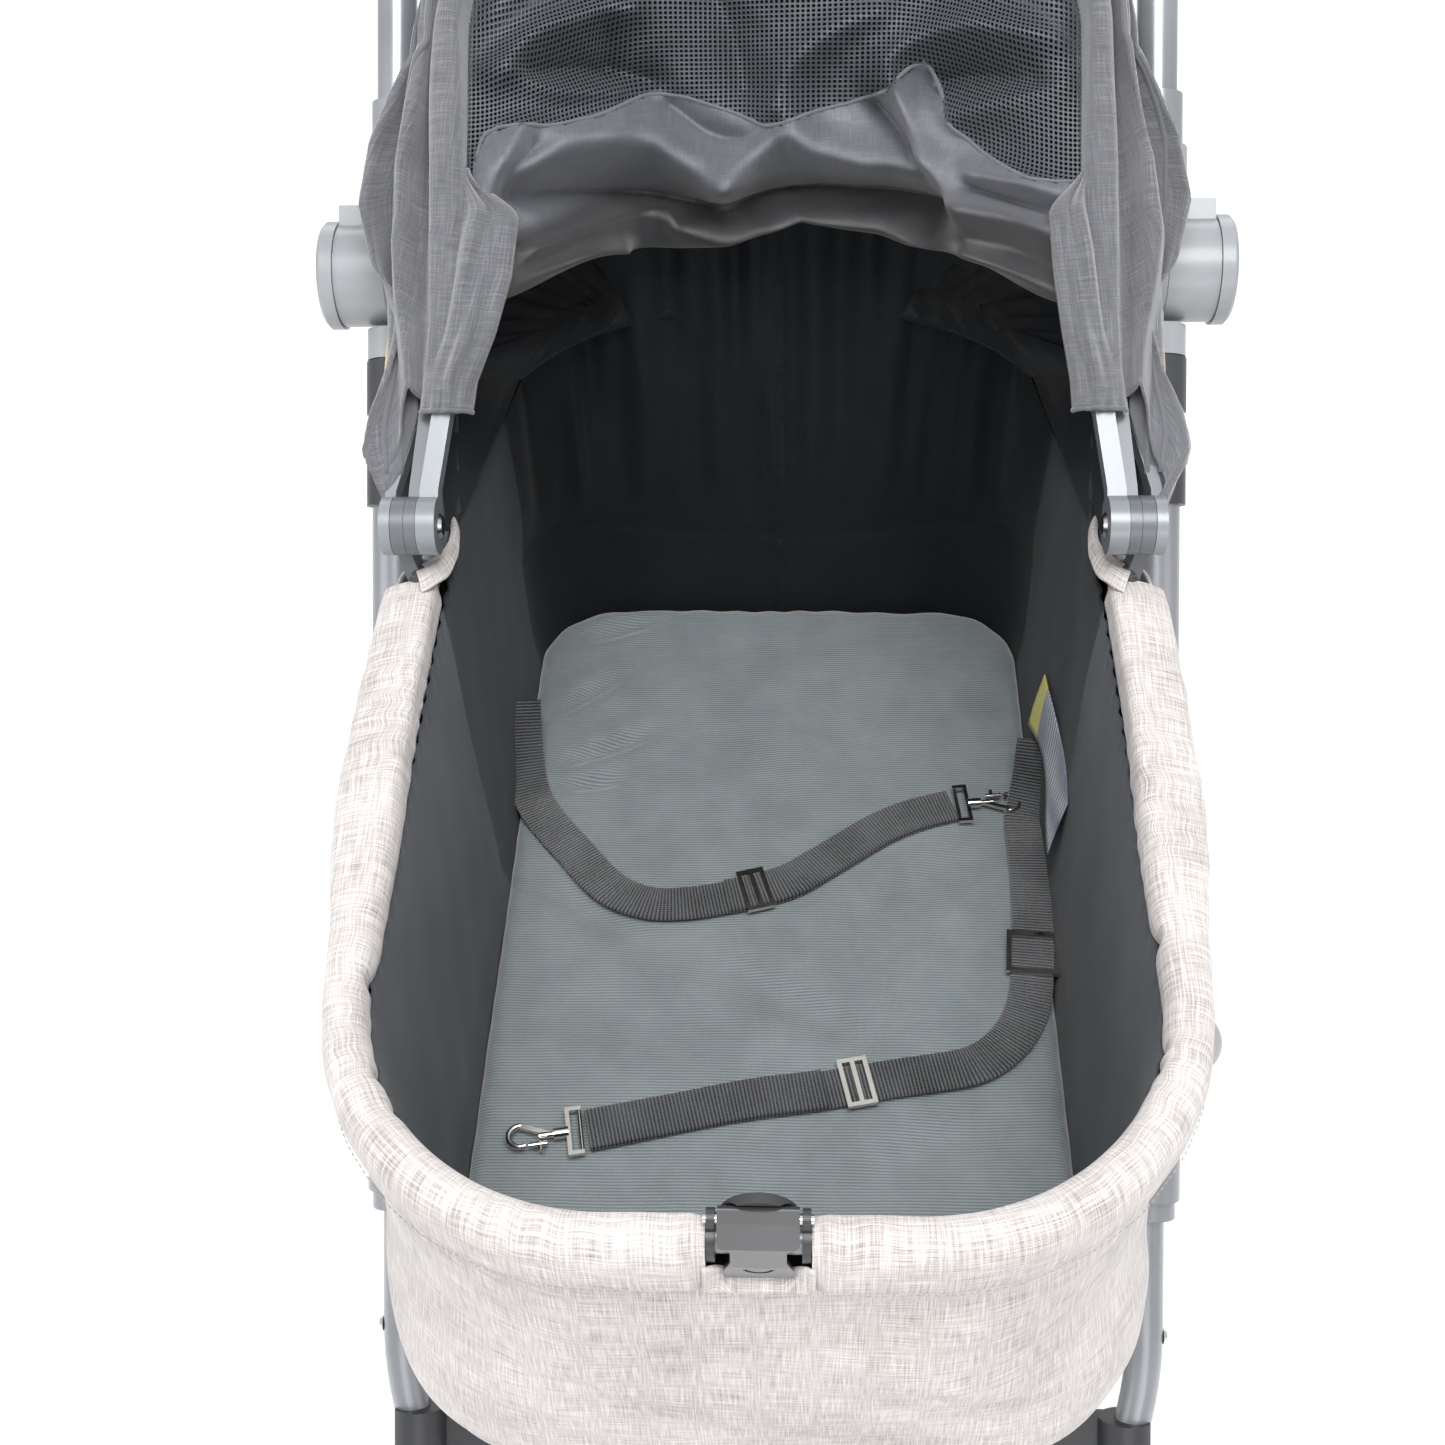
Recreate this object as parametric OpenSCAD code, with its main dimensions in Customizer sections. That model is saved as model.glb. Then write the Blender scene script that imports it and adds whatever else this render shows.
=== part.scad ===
// Pet stroller: folding tube frame, linen cabin with a folding three-bow hood, caster front and braked rear wheels.
// X is the stroller's width, -Y its front, +Y the handle side and Z is up; the wheels stand on Z = 0.

/* [Frame] */
// Height of the fold joints above the ground
hub_z = 769; // [740:1:800]
// Lean of the side frame line from the vertical, degrees
frame_lean = 45; // [42:1:48]
// Half the distance between the two side tubes
side_x = 210; // [208:1:216]
// Outside radius of the main side sleeves
sleeve_r = 14; // [13:0.5:15]
// Outside radius of the front leg tube
leg_r = 10; // [9:0.5:10.5]
// Outside radius of the rear legs and of the handle tube
tube_r = 11; // [10:0.5:12]
// Distance from the fold joint to the handle bar along the frame line
handle_reach = 323; // [300:1:360]

/* [Cabin] */
// Half width of the cabin rim tube, centre to centre
rim_x = 182; // [178:1:184]
// Radius of the rim's front corners
rim_corner = 118; // [100:1:140]
// Front of the rim tube
rim_front = -350; // [-360:1:-340]
// Height of the rim at the hood hinges
rim_z = 682; // [670:1:690]
// Height of the floor pad's top
pad_top = 450; // [446:1:460]
// Half width of the floor pad
pad_x = 164.7; // [150:0.1:166]
// Back wall of the cabin
cabin_back = 268; // [250:1:275]

/* [Hood] */
// Reach of the bows from the hinge pins
bow_reach = 369; // [360:1:372]
// Angle of the front bow above the forward horizontal, folded back
front_bow_angle = 140; // [130:1:142]
// Angle between neighbouring bows, folded back
bow_step = 9; // [8:1:10]

/* [Wheels] */
// Radius of the rear wheels
rear_wheel_r = 107.5; // [95:0.5:115]
// Radius of the front wheels
front_wheel_r = 82.5; // [70:0.5:90]
// Half the distance between the caster pivots
caster_x = 130; // [120:1:140]

/* [Hidden] */
$fn = 64;

run = 0.05;             // radial clearance of a running fit
wall = 1.4;             // wall of the steel tubes
root_half = sqrt(0.5);
hub_y = 180;
hub_r = 29.5;           // fold joint discs
sleeve_low = -522;      // lower end of the main sleeves, along the frame line
sleeve_high = 95;       // upper end of the handle sleeves, along the frame line
bend_s = -586;          // where the front leg tube starts to bend inwards
bend_r = side_x - 2;    // the front leg tube's bend is a half circle
brace_s = -650;         // front brace, along the frame line
knob_s = -425;          // cabin lock knob, along the frame line
leg_pivot_s = -62;
leg_pivot_n = 30;
leg_pivot_y = hub_y + (leg_pivot_s + leg_pivot_n) * root_half;
leg_pivot_z = hub_z + (leg_pivot_s - leg_pivot_n) * root_half;
axle_y = 307;
axle_z = rear_wheel_r;
axle_r = 5;
leg_length = norm([axle_y - leg_pivot_y, axle_z - leg_pivot_z]);
leg_lean = atan2(axle_y - leg_pivot_y, leg_pivot_z - axle_z);
rear_wheel_x = 249;
rear_wheel_w = 34;
brake_y = axle_y + 14.8;
brake_z = axle_z + 48.8;
pin_off = 31.8;         // brake pin from the axle, along Y and along Z
drum_r = 40;
drum_teeth = 12;
caster_y = -378;
caster_trail = 35;
caster_stem_r = 6;
front_wheel_w = 30;
front_axle_r = 4;
hinge_y = 19;
hinge_z = 722;
hinge_pin_r = 4;
knuckle_r = 15;
rim_r = 6;
rim_tilt = 2.1;         // the rim falls towards the front by this many degrees
hem_r = 8.5;
rim_mount_s = -117;
rim_mount_y = hub_y + rim_mount_s * root_half;
rim_back = round(rim_mount_y - hinge_y) - 8;   // end of the rim tube, in the rim plane
rim_reach = round(hinge_y - rim_front);        // front of the rim tube, in the rim plane
shell_x = 185;
lining_x = 172.5;
tub_low = 424;
back_corner = 60;
rod_r = 4;              // hood bows
arm_end = 75;           // end of the bow arms, from the hinge pin
rear_bow_x = 187;
mid_bow_x = 177;
front_bow_x = 167;
bow_corner = 115;
gap = 0.1;              // between the leaves of a hood hinge
basket_arc = 556;       // underside of the basket, round the rear legs' pivot
latch_y = -348;
latch_z = 680.3;
latch_pin_r = 2;

linen = [0.74, 0.71, 0.68];
slate = [0.23, 0.25, 0.27];
charcoal = [0.17, 0.17, 0.18];
steel_grey = [0.33, 0.35, 0.38];
plastic_grey = [0.40, 0.43, 0.46];
dark_plastic = [0.12, 0.12, 0.13];
gunmetal = [0.45, 0.45, 0.46];
nickel = [0.75, 0.74, 0.70];
webbing = [0.06, 0.06, 0.065];

// Points on each leash's centre line, in order from its anchor in the cabin wall to its swivel hook
left_route = [[-157, 76, 451.5], [-149, 60, 451.5], [-137, 43, 451.5], [-124, 27, 451.5],
  [-110, 9, 451.5], [-95, -5, 451.5], [-75, -13, 451.5], [-54, -13, 451.5], [-32, -9, 451.5],
  [-11, -4, 451.5], [10, 4, 451.5], [29, 18, 451.5], [47, 32, 451.5], [63, 44, 451.5],
  [80, 54, 451.5], [96, 61, 451.5], [112, 66, 451.5]];
right_route = [[156.5, 56, 451.5], [156.8, 38, 451.5], [156.8, 20, 451.5], [156.5, 0, 451.5],
  [155.5, -20, 451.5], [154, -40, 451.5], [152, -60, 451.5], [149, -80, 451.5], [142, -99, 451.5],
  [130, -115, 451.5], [114, -126, 451.5], [94, -131, 451.5], [72, -135, 451.5], [48, -140, 451.5],
  [24, -145, 451.5], [0, -149, 451.5], [-25, -154, 451.5], [-50, -160, 451.5], [-75, -166, 451.5],
  [-100, -172, 451.5]];
strap_w = 25;
strap_t = 2.4;
slider_z = 454.3;
hook_z = 453.9;

module both_sides() {
  children();
  mirror([1, 0, 0]) children();
}

module on_frame_line() {
  translate([0, hub_y, hub_z]) rotate([-frame_lean, 0, 0]) children();
}

module on_rim() {
  translate([0, hinge_y, rim_z]) rotate([rim_tilt, 0, 0]) children();
}

module bow_frame(angle) {
  translate([0, hinge_y, hinge_z]) rotate([90 - angle, 0, 0]) children();
}

module along_x(x, r, length) {
  translate([x, 0, 0]) rotate([0, 90, 0]) cylinder(r = r, h = length);
}

module pipe(outer, inner, length) {
  difference() {
    cylinder(r = outer, h = length);
    translate([0, 0, -1]) cylinder(r = inner, h = length + 2);
  }
}

// A ring of flat outline w by l round an opening, lying in XY
module flat_ring(w, l, bar, t) {
  translate([0, 0, -t / 2]) linear_extrude(t) difference() {
    square([l, w], center = true);
    square([l - 2 * bar, w - 2 * bar], center = true);
  }
}

// Quarter bend from +X to +Z, of centre-line radius big
module bend(big, r, turn = 90) {
  rotate([90, 0, 0]) rotate_extrude(angle = turn, $fn = 96) translate([big, 0]) circle(r = r, $fn = 40);
}

// Closed tube through a list of points; each ring is a list of [side, up] offsets
function unit(v) = v / norm(v);
function side_of(p, i) = let (
  a = p[max(i - 1, 0)], b = p[min(i + 1, len(p) - 1)], t = unit(b - a)
) unit([-t[1], t[0], 0]);
function swept(p, ring) = [for (i = [0 : len(p) - 1]) for (q = ring)
  p[i] + side_of(p, i) * q[0] + [0, 0, q[1]]];
function swept_faces(rings, sides) = concat(
  [[for (j = [0 : sides - 1]) j]],
  [for (i = [0 : rings - 2]) for (j = [0 : sides - 1]) let (k = (j + 1) % sides)
    [i * sides + j, (i + 1) * sides + j, (i + 1) * sides + k, i * sides + k]],
  [[for (j = [sides - 1 : -1 : 0]) (rings - 1) * sides + j]]);

strap_ring = [[strap_w / 2, 0], [strap_w / 2 - 0.7, strap_t / 2], [0, strap_t / 2 + 0.1],
  [-strap_w / 2 + 0.7, strap_t / 2], [-strap_w / 2, 0], [-strap_w / 2 + 0.7, -strap_t / 2],
  [0, -strap_t / 2 - 0.1], [strap_w / 2 - 0.7, -strap_t / 2]];

module strap(route) {
  polyhedron(points = swept(route, strap_ring), faces = swept_faces(len(route), len(strap_ring)), convexity = 6);
}

// ---------- side frame ----------

module front_leg_tube() {
  color(steel_grey) on_frame_line() difference() {
    union() {
      both_sides() translate([bend_r, 0, bend_s]) cylinder(r = leg_r, h = 96);
      translate([0, 0, bend_s]) rotate([-90, 0, 0]) rotate_extrude(angle = 180, $fn = 128)
        translate([bend_r, 0]) circle(r = leg_r, $fn = 40);
    }
    both_sides() translate([bend_r, 0, bend_s - 0.01]) cylinder(r = leg_r - wall, h = 98);
  }
}

module lower_sleeves() {
  color(steel_grey) on_frame_line() difference() {
    both_sides() difference() {
      translate([side_x, 0, sleeve_low]) cylinder(r = sleeve_r, h = -34 - sleeve_low);
      translate([bend_r, 0, sleeve_low - 1]) cylinder(r = leg_r + run, h = 40);
      translate([side_x, 0, sleeve_low + 45]) cylinder(r = sleeve_r - wall, h = -34 - sleeve_low);
    }
    translate([side_x - 30, 0, knob_s]) along_x(0, 4 + run, 60);
  }
}

// A disc on the fold axis joined to a socket round the end of a sleeve
module fold_half(x_low, x_high, dir, socket_r) {
  difference() {
    union() {
      along_x(x_low, hub_r - 1.5, x_high - x_low);
      translate([side_x, 0, dir > 0 ? 31 : -48]) cylinder(r = socket_r, h = dir > 0 ? 35 : 17);
      translate([x_low, -13, dir > 0 ? 8 : -36]) cube([x_high - x_low, 26, 28]);
    }
    translate([side_x, 0, dir > 0 ? 34 : -100]) cylinder(r = sleeve_r + run, h = 66);
  }
}

module fold_bases() {
  color(dark_plastic) on_frame_line() both_sides() difference() {
    fold_half(196.6, 212, -1, 16.5);
    along_x(190, 5, 40);
  }
}

module fold_arms() {
  color(dark_plastic) on_frame_line() both_sides() difference() {
    fold_half(212.3, 240, 1, 16.5);
    along_x(205, 5 + run, 33);
  }
}

module hub_caps() {
  color(plastic_grey) on_frame_line() both_sides() translate([240.2, 0, 0]) rotate([0, 90, 0])
    rotate_extrude($fn = 96)
      polygon([[0, 0], [hub_r, 0], [hub_r, 6.8], [hub_r - 2, 8.8], [hub_r - 9, 8.8], [hub_r - 10, 8], [0, 8]]);
}

module upper_sleeves() {
  color(steel_grey) on_frame_line() both_sides() translate([side_x, 0, 34])
    pipe(sleeve_r + 0.0, tube_r + run, sleeve_high - 34);
}

module handle_tube() {
  r = 60;
  color(steel_grey) on_frame_line() {
    both_sides() {
      translate([side_x, 0, 36]) pipe(tube_r, tube_r - wall, handle_reach - r - 36);
      translate([side_x - r, 0, handle_reach - r]) bend(r, tube_r);
    }
    translate([0, 0, handle_reach]) along_x(-side_x + r, tube_r, 2 * (side_x - r));
  }
}

module handle_grip() {
  color(webbing) on_frame_line() translate([0, 0, handle_reach]) difference() {
    union() {
      along_x(-146, 16.6, 292);
      both_sides() along_x(143, 17.2, 5);
    }
    along_x(-160, tube_r + run, 320);
  }
}

module frame_pins() {
  color(nickel) {
    on_frame_line() both_sides() {
      along_x(192.6, 5, 45);
      along_x(192.6, 9, 3.8);
      translate([218, 0, bend_s - 3]) rotate([0, 90, 0]) cylinder(r1 = 4.5, r2 = 3, h = 2);
      translate([0, leg_pivot_n, leg_pivot_s]) along_x(193.5, 4, 33);
      translate([0, leg_pivot_n, leg_pivot_s]) along_x(225.2, 6, 2.2);
    }
    both_sides() translate([0, hinge_y, hinge_z]) {
      along_x(170.0, hinge_pin_r, 29.5);
      translate([168.4, 0, 0]) rotate([0, 90, 0]) cylinder(r1 = 5, r2 = 6.5, h = 1.7);
      along_x(199.2, 6.5, 1.4);
    }
  }
}

module leg_brackets() {
  color(dark_plastic) on_frame_line() both_sides() difference() {
    union() {
      translate([side_x, 0, leg_pivot_s - 16]) cylinder(r = 17, h = 29);
      for (x = [194.8, 221.6]) {
        translate([x, 0, leg_pivot_s - 9]) cube([3.6, leg_pivot_n, 18]);
        translate([0, leg_pivot_n, leg_pivot_s]) along_x(x, 9, 3.6);
      }
    }
    translate([side_x, 0, leg_pivot_s - 20]) cylinder(r = sleeve_r + run, h = 50);
    translate([0, leg_pivot_n, leg_pivot_s]) along_x(190, 4, 40);
    translate([198.4, 17.4, leg_pivot_s - 30]) cube([23.2, 40, 60]);
  }
}

module front_brace() {
  color(dark_plastic) on_frame_line() difference() {
    union() {
      translate([-188, 2, brace_s - 13]) cube([376, 14, 26]);
      both_sides() translate([198, 0, brace_s - 15]) cylinder(r = 15, h = 30);
    }
    translate([-176, 4.5, brace_s - 10]) cube([352, 14, 20]);
    translate([0, 0, bend_s]) rotate([-90, 0, 0]) rotate_extrude(angle = 180, $fn = 128)
      translate([bend_r, 0]) circle(r = leg_r + run, $fn = 40);
    both_sides() translate([210, -20, brace_s - 30]) cube([10, 40, 60]);
  }
}

// ---------- rear frame ----------

module on_leg() {
  translate([0, leg_pivot_y, leg_pivot_z]) rotate([leg_lean, 0, 0]) mirror([0, 0, 1]) children();
}

module rear_legs() {
  color(steel_grey) on_leg() both_sides() difference() {
    union() {
      translate([side_x, 0, 0]) cylinder(r = tube_r, h = leg_length - 18);
      along_x(side_x - 11.4, 12, 22.8);
    }
    translate([side_x, 0, 14]) cylinder(r = tube_r - wall, h = leg_length);
    along_x(190, 4 + run, 40);
  }
}

module axle_brackets() {
  color(dark_plastic) both_sides() difference() {
    union() {
      translate([0, axle_y, axle_z]) along_x(196, 18, 30);
      on_leg() translate([side_x, 0, leg_length - 62]) cylinder(r = 15, h = 62);
      translate([0, brake_y, brake_z]) along_x(198, 9, 26);
      translate([0, brake_y, brake_z]) rotate([leg_lean, 0, 0]) translate([200, -20, -6]) cube([22, 20, 12]);
    }
    on_leg() translate([side_x, 0, leg_length - 64]) cylinder(r = tube_r + run, h = 46.1);
    translate([0, axle_y, axle_z]) along_x(190, axle_r + 0.02, 40);
    translate([0, axle_y, axle_z]) along_x(190, tube_r + run, 5.9);
    translate([0, brake_y, brake_z]) along_x(190, 4 + run, 40);
    translate([226, axle_y - 60, axle_z - 60]) cube([20, 120, 120]);
  }
}

module rear_crossbar() {
  color(steel_grey) translate([0, axle_y, axle_z]) difference() {
    along_x(-195.8, tube_r, 391.6);
    along_x(-200, axle_r + run, 400);
  }
}

module rear_axle() {
  color(nickel) translate([0, axle_y, axle_z]) along_x(-262, axle_r, 524);
}

module brake_pedal() {
  color(plastic_grey) {
    translate([0, brake_y, brake_z]) {
      along_x(-230, 4, 460);
      difference() {
        union() {
          along_x(-34, 9, 68);
          translate([-34, 0, -3]) cube([68, 50, 6]);
          translate([-34, 50, -3]) rotate([0, 90, 0]) cylinder(r = 3, h = 68);
        }
        for (x = [-24 : 12 : 24]) translate([x - 3, 18, -4]) cube([6, 26, 8]);
      }
    }
    both_sides() {
      translate([226.3, 0, 0]) hull() {
        translate([0, brake_y, brake_z]) along_x(0, 7, 3.6);
        translate([0, axle_y + pin_off, axle_z + pin_off]) along_x(0, 5.5, 3.6);
      }
      translate([0, axle_y + pin_off, axle_z + pin_off]) along_x(229, 4, 8.5);
    }
  }
}

// ---------- wheels ----------

module on_axle(x, y, z) {
  translate([x, y, z]) rotate([0, 90, 0]) children();
}

module tyre(r, w, rim_radius) {
  h = w / 2;
  difference() {
    rotate_extrude($fn = 128) polygon([[rim_radius, -h + 5], [rim_radius + 4, -h + 1], [r - 10, -h],
      [r - 4, -h + 3], [r - 1, -h + 8], [r, -h + 12], [r, h - 12], [r - 1, h - 8], [r - 4, h - 3],
      [r - 10, h], [rim_radius + 4, h - 1], [rim_radius, h - 5]]);
    for (z = [-5, 5]) translate([0, 0, z]) rotate_extrude($fn = 128)
      polygon([[r - 1.6, -0.9], [r + 1, -1.6], [r + 1, 1.6], [r - 1.6, 0.9]]);
  }
}

module rim(r, w, bore, spokes, hub_radius) {
  difference() {
    union() {
      rotate_extrude($fn = 128) polygon([[r - 9, -w / 2 + 6], [r - 0.1, -w / 2 + 6], [r - 0.1, w / 2 - 6],
        [r - 9, w / 2 - 6], [r - 6, 0]]);
      translate([0, 0, -w / 2 + 2]) cylinder(r = hub_radius, h = w - 4);
      for (a = [0 : 360 / spokes : 359]) rotate([0, 0, a]) {
        translate([hub_radius - 2, -5.5, -5]) cube([r - hub_radius - 5, 11, 10]);
        translate([hub_radius - 2, -2, -8]) cube([r - hub_radius - 5, 4, 16]);
      }
    }
    translate([0, 0, -w]) cylinder(r = bore + run, h = 2 * w);
  }
}

module rear_tyre(side) {
  color(dark_plastic) on_axle(side * rear_wheel_x, axle_y, axle_z) tyre(rear_wheel_r, rear_wheel_w, 88);
}

// side +1 is the right wheel: its toothed brake drum faces the frame
module rear_rim(side) {
  color(plastic_grey) on_axle(side * rear_wheel_x, axle_y, axle_z) union() {
    rim(88, rear_wheel_w, axle_r, 6, 24);
    mirror([0, 0, side > 0 ? 0 : 1]) {
      difference() {
        translate([0, 0, -18.5]) cylinder(r = drum_r, h = 7.5);
        translate([0, 0, -20]) cylinder(r = 26, h = 6.5);
        translate([0, 0, -20]) cylinder(r = axle_r + run, h = 20);
        for (i = [0 : drum_teeth - 1]) rotate([0, 0, 15 + i * 360 / drum_teeth])
          translate([31, -5.5, -20]) cube([12, 11, 10]);
      }
      difference() {
        translate([0, 0, 14]) cylinder(r1 = 20, r2 = 15, h = 5);
        translate([0, 0, 10]) cylinder(r = axle_r + run, h = 5.5);
      }
    }
  }
}

module front_tyre(side) {
  color(dark_plastic) on_axle(side * caster_x, caster_y + caster_trail, front_wheel_r)
    tyre(front_wheel_r, front_wheel_w, 65);
}

module front_rim(side) {
  color(plastic_grey) on_axle(side * caster_x, caster_y + caster_trail, front_wheel_r)
    rim(65, front_wheel_w, front_axle_r, 5, 16);
}

module fork(side) {
  color(dark_plastic) translate([side * caster_x, caster_y, 0]) {
    translate([0, 0, 196]) cylinder(r = caster_stem_r, h = 50);
    difference() {
      union() {
        translate([0, 0, 180]) cylinder(r = 24, h = 16);
        for (m = [0, 1]) mirror([m, 0, 0]) {
          translate([16, 0, 0]) rotate([90, 0, 90]) linear_extrude(7) polygon([[-24, 184], [18, 184],
            [30, 160], [caster_trail + 13, front_wheel_r], [caster_trail - 13, front_wheel_r - 2]]);
          translate([16, caster_trail, front_wheel_r]) rotate([0, 90, 0]) cylinder(r = 13, h = 7);
        }
      }
      translate([-30, caster_trail, front_wheel_r]) along_x(0, front_axle_r, 60);
    }
    translate([-25, caster_trail, front_wheel_r]) along_x(0, front_axle_r, 50);
    for (m = [0, 1]) mirror([m, 0, 0]) translate([22.9, caster_trail, front_wheel_r]) along_x(0, 7, 3);
  }
}

module caster_housings() {
  tube_s = bend_s - bend_r * sin(acos(caster_x / bend_r));
  tube_y = hub_y + tube_s * root_half;
  tube_z = hub_z + tube_s * root_half;
  color(dark_plastic) difference() {
    both_sides() {
      translate([caster_x, caster_y, 196.4]) cylinder(r = 21, h = 58);
      translate([caster_x, caster_y, 254]) cylinder(r1 = 21, r2 = 15, h = 6);
      translate([caster_x - 15, caster_y, tube_z - 17]) cube([30, tube_y - caster_y, 34]);
      translate([caster_x - 15, tube_y, tube_z]) along_x(0, 17, 30);
    }
    both_sides() translate([caster_x, caster_y, 190]) cylinder(r = caster_stem_r + run, h = 56.5);
    on_frame_line() translate([0, 0, bend_s]) rotate([-90, 0, 0]) rotate_extrude(angle = 180, $fn = 128)
      translate([bend_r, 0]) circle(r = leg_r + run, $fn = 40);
  }
}

// ---------- cabin ----------

// Plan outline of the cabin, half width x, rounded at the front by corner and at the back by back_r
module plan(x, corner, front, back, back_r) {
  union() {
    translate([-x, front + corner]) square([2 * x, back - front - corner - back_r]);
    translate([-x + corner, front]) square([2 * (x - corner), corner + 1]);
    translate([-x + back_r, back - back_r - 1]) square([2 * (x - back_r), back_r + 1]);
    for (m = [0, 1]) mirror([m, 0]) {
      translate([x - corner, front + corner]) circle(r = corner, $fn = 128);
      translate([x - back_r, back - back_r]) circle(r = back_r, $fn = 128);
    }
  }
}

// Everything under the rim plane, lowered by drop
module under_rim(drop) {
  on_rim() translate([-300, -500, -400 - drop]) cube([600, 1000, 400]);
}

module rim_path(r) {
  inner_y = -rim_reach + rim_corner;
  both_sides() {
    translate([rim_x, rim_back, 0]) rotate([90, 0, 0]) cylinder(r = r, h = rim_back - inner_y);
    translate([rim_x - rim_corner, inner_y, 0]) rotate([0, 0, -90]) rotate_extrude(angle = 90, $fn = 128)
      translate([rim_corner, 0]) circle(r = r, $fn = 40);
  }
  translate([0, -rim_reach, 0]) along_x(-rim_x + rim_corner, r, 2 * (rim_x - rim_corner));
}

module rim_tube() {
  color(steel_grey) on_rim() rim_path(rim_r);
}

module rim_hem() {
  color(linen) on_rim() difference() {
    rim_path(hem_r);
    rim_path(rim_r + run);
    translate([-20.8, -rim_reach - 20, -20]) cube([41.6, 40, 40]);
    both_sides() translate([150, -17, -20]) cube([60, 200, 40]);
  }
}

module rim_mounts() {
  color(dark_plastic) both_sides() difference() {
    union() {
      on_frame_line() translate([side_x, 0, rim_mount_s - 12]) cylinder(r = 17, h = 24);
      translate([173.2, rim_mount_y - 11, rim_z - 3.5]) cube([28.8, 22, 16]);
    }
    on_frame_line() translate([side_x, 0, rim_mount_s - 40]) cylinder(r = sleeve_r + run, h = 80);
    on_rim() rim_path(rim_r + run);
  }
}

module tub_shell() {
  color(linen) intersection() {
    difference() {
      translate([0, 0, tub_low]) linear_extrude(300)
        plan(shell_x, rim_corner + 3, rim_front - 3, cabin_back, back_corner);
      translate([0, 0, tub_low + 3]) linear_extrude(300)
        plan(shell_x - 3, rim_corner, rim_front, cabin_back - 3, back_corner - 3);
    }
    under_rim(hem_r + 0.2);
  }
}

module tub_lining() {
  front = rim_front + hem_r + 1;
  corner = rim_corner - 9.5;
  color(slate) intersection() {
    difference() {
      translate([0, 0, tub_low + 3.3]) linear_extrude(300)
        plan(lining_x, corner, front, cabin_back - 4, back_corner - 4);
      translate([0, 0, tub_low]) linear_extrude(310)
        plan(lining_x - 2.5, corner - 2.5, front + 2.5, cabin_back - 6.5, back_corner - 6.5);
    }
    under_rim(-4);
  }
}

module floor_board() {
  color(dark_plastic) translate([0, 0, tub_low + 3.3]) linear_extrude(5)
    plan(pad_x + 3, rim_corner - 14, rim_front + 16, cabin_back - 9, back_corner - 8);
}

module pad() {
  color(slate) translate([0, 0, tub_low + 8.6]) linear_extrude(pad_top - tub_low - 8.6)
    plan(pad_x, rim_corner - 16, rim_front + 20, cabin_back - 10, back_corner - 9);
}

module floor_crossbar() {
  bar_z = tub_low - 9;
  s = (bar_z - hub_z) / root_half;
  color(steel_grey) difference() {
    union() {
      translate([0, hub_y + s * root_half, bar_z]) along_x(-195.8, 8, 391.6);
      on_frame_line() both_sides() translate([side_x, 0, s - 11]) cylinder(r = 16.5, h = 22);
    }
    on_frame_line() both_sides() translate([side_x, 0, s - 40]) cylinder(r = sleeve_r + run, h = 80);
  }
}

// Quarter-turn knob whose bolt passes through the right side tube to lock the cabin
module lock_knob() {
  color(plastic_grey) on_frame_line() translate([0, 0, knob_s]) difference() {
    union() {
      along_x(188, 4, 40);
      translate([225, 0, 0]) rotate([0, 90, 0]) rotate_extrude($fn = 64) union() {
        square([16, 14]);
        intersection() {
          translate([0, 6]) circle(r = 18);
          translate([0, 10]) square([16, 14]);
        }
      }
    }
    for (a = [30 : 60 : 359]) rotate([a, 0, 0]) translate([222, 0, 18]) along_x(0, 4.5, 30);
  }
}

// ---------- front latch ----------

module latch_base() {
  color(dark_plastic) difference() {
    union() {
      for (x = [-20.4, 17]) translate([x, 0, 0]) {
        translate([0, latch_y, latch_z]) along_x(0, 4.4, 3.4);
        translate([0, rim_front + 0, rim_z - 13.5]) along_x(0, 9, 3.4);
        translate([0, latch_y - 4, latch_z - 9]) cube([3.4, 8, 9]);
      }
      translate([-20.4, rim_front + 6.4, 660]) cube([40.8, 3, 12]);
      intersection() {
        translate([0, rim_front + 7, 672]) rotate([90, 0, 0]) cylinder(r = 16, h = 4.6, center = true);
        translate([-20, rim_front - 2, 671.9]) cube([40, 20, 30]);
      }
    }
    on_rim() rim_path(rim_r + run);
    translate([0, latch_y, latch_z]) along_x(-30, latch_pin_r, 60);
    translate([0, latch_y, latch_z]) along_x(-16.6, 6, 33.2);
  }
}

module latch_clip() {
  color(gunmetal) difference() {
    union() {
      translate([0, latch_y, latch_z]) along_x(-16, 5, 32);
      intersection() {
        translate([-20, 0, 0]) rotate([90, 0, 90]) linear_extrude(40) polygon([
          [latch_y, latch_z + 5], [latch_y - 4, latch_z + 4], [latch_y - 10.6, latch_z - 3],
          [latch_y - 10.6, latch_z - 16], [latch_y - 8.8, latch_z - 27], [latch_y - 10.4, latch_z - 27.3],
          [latch_y - 12.2, latch_z - 16], [latch_y - 12.2, latch_z - 2], [latch_y - 5, latch_z + 5]]);
        translate([0, 0, latch_z]) rotate([90, 0, 0]) translate([0, 0, 330]) linear_extrude(50)
          polygon([[-16, 6], [16, 6], [16, -1], [11, -4], [11, -12], [13.8, -19], [13.8, -28],
            [-13.8, -28], [-13.8, -19], [-11, -12], [-11, -4], [-16, -1]]);
      }
    }
    translate([0, latch_y, latch_z]) along_x(-30, latch_pin_r + run, 60);
    translate([0, latch_y, latch_z]) along_x(-7, 4.1, 14);
    translate([0, -330, latch_z - 15]) rotate([90, 0, 0]) linear_extrude(50) difference() {
      circle(r = 7);
      circle(r = 5.6);
      translate([-8, -3]) square([16, 12]);
    }
  }
}

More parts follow.
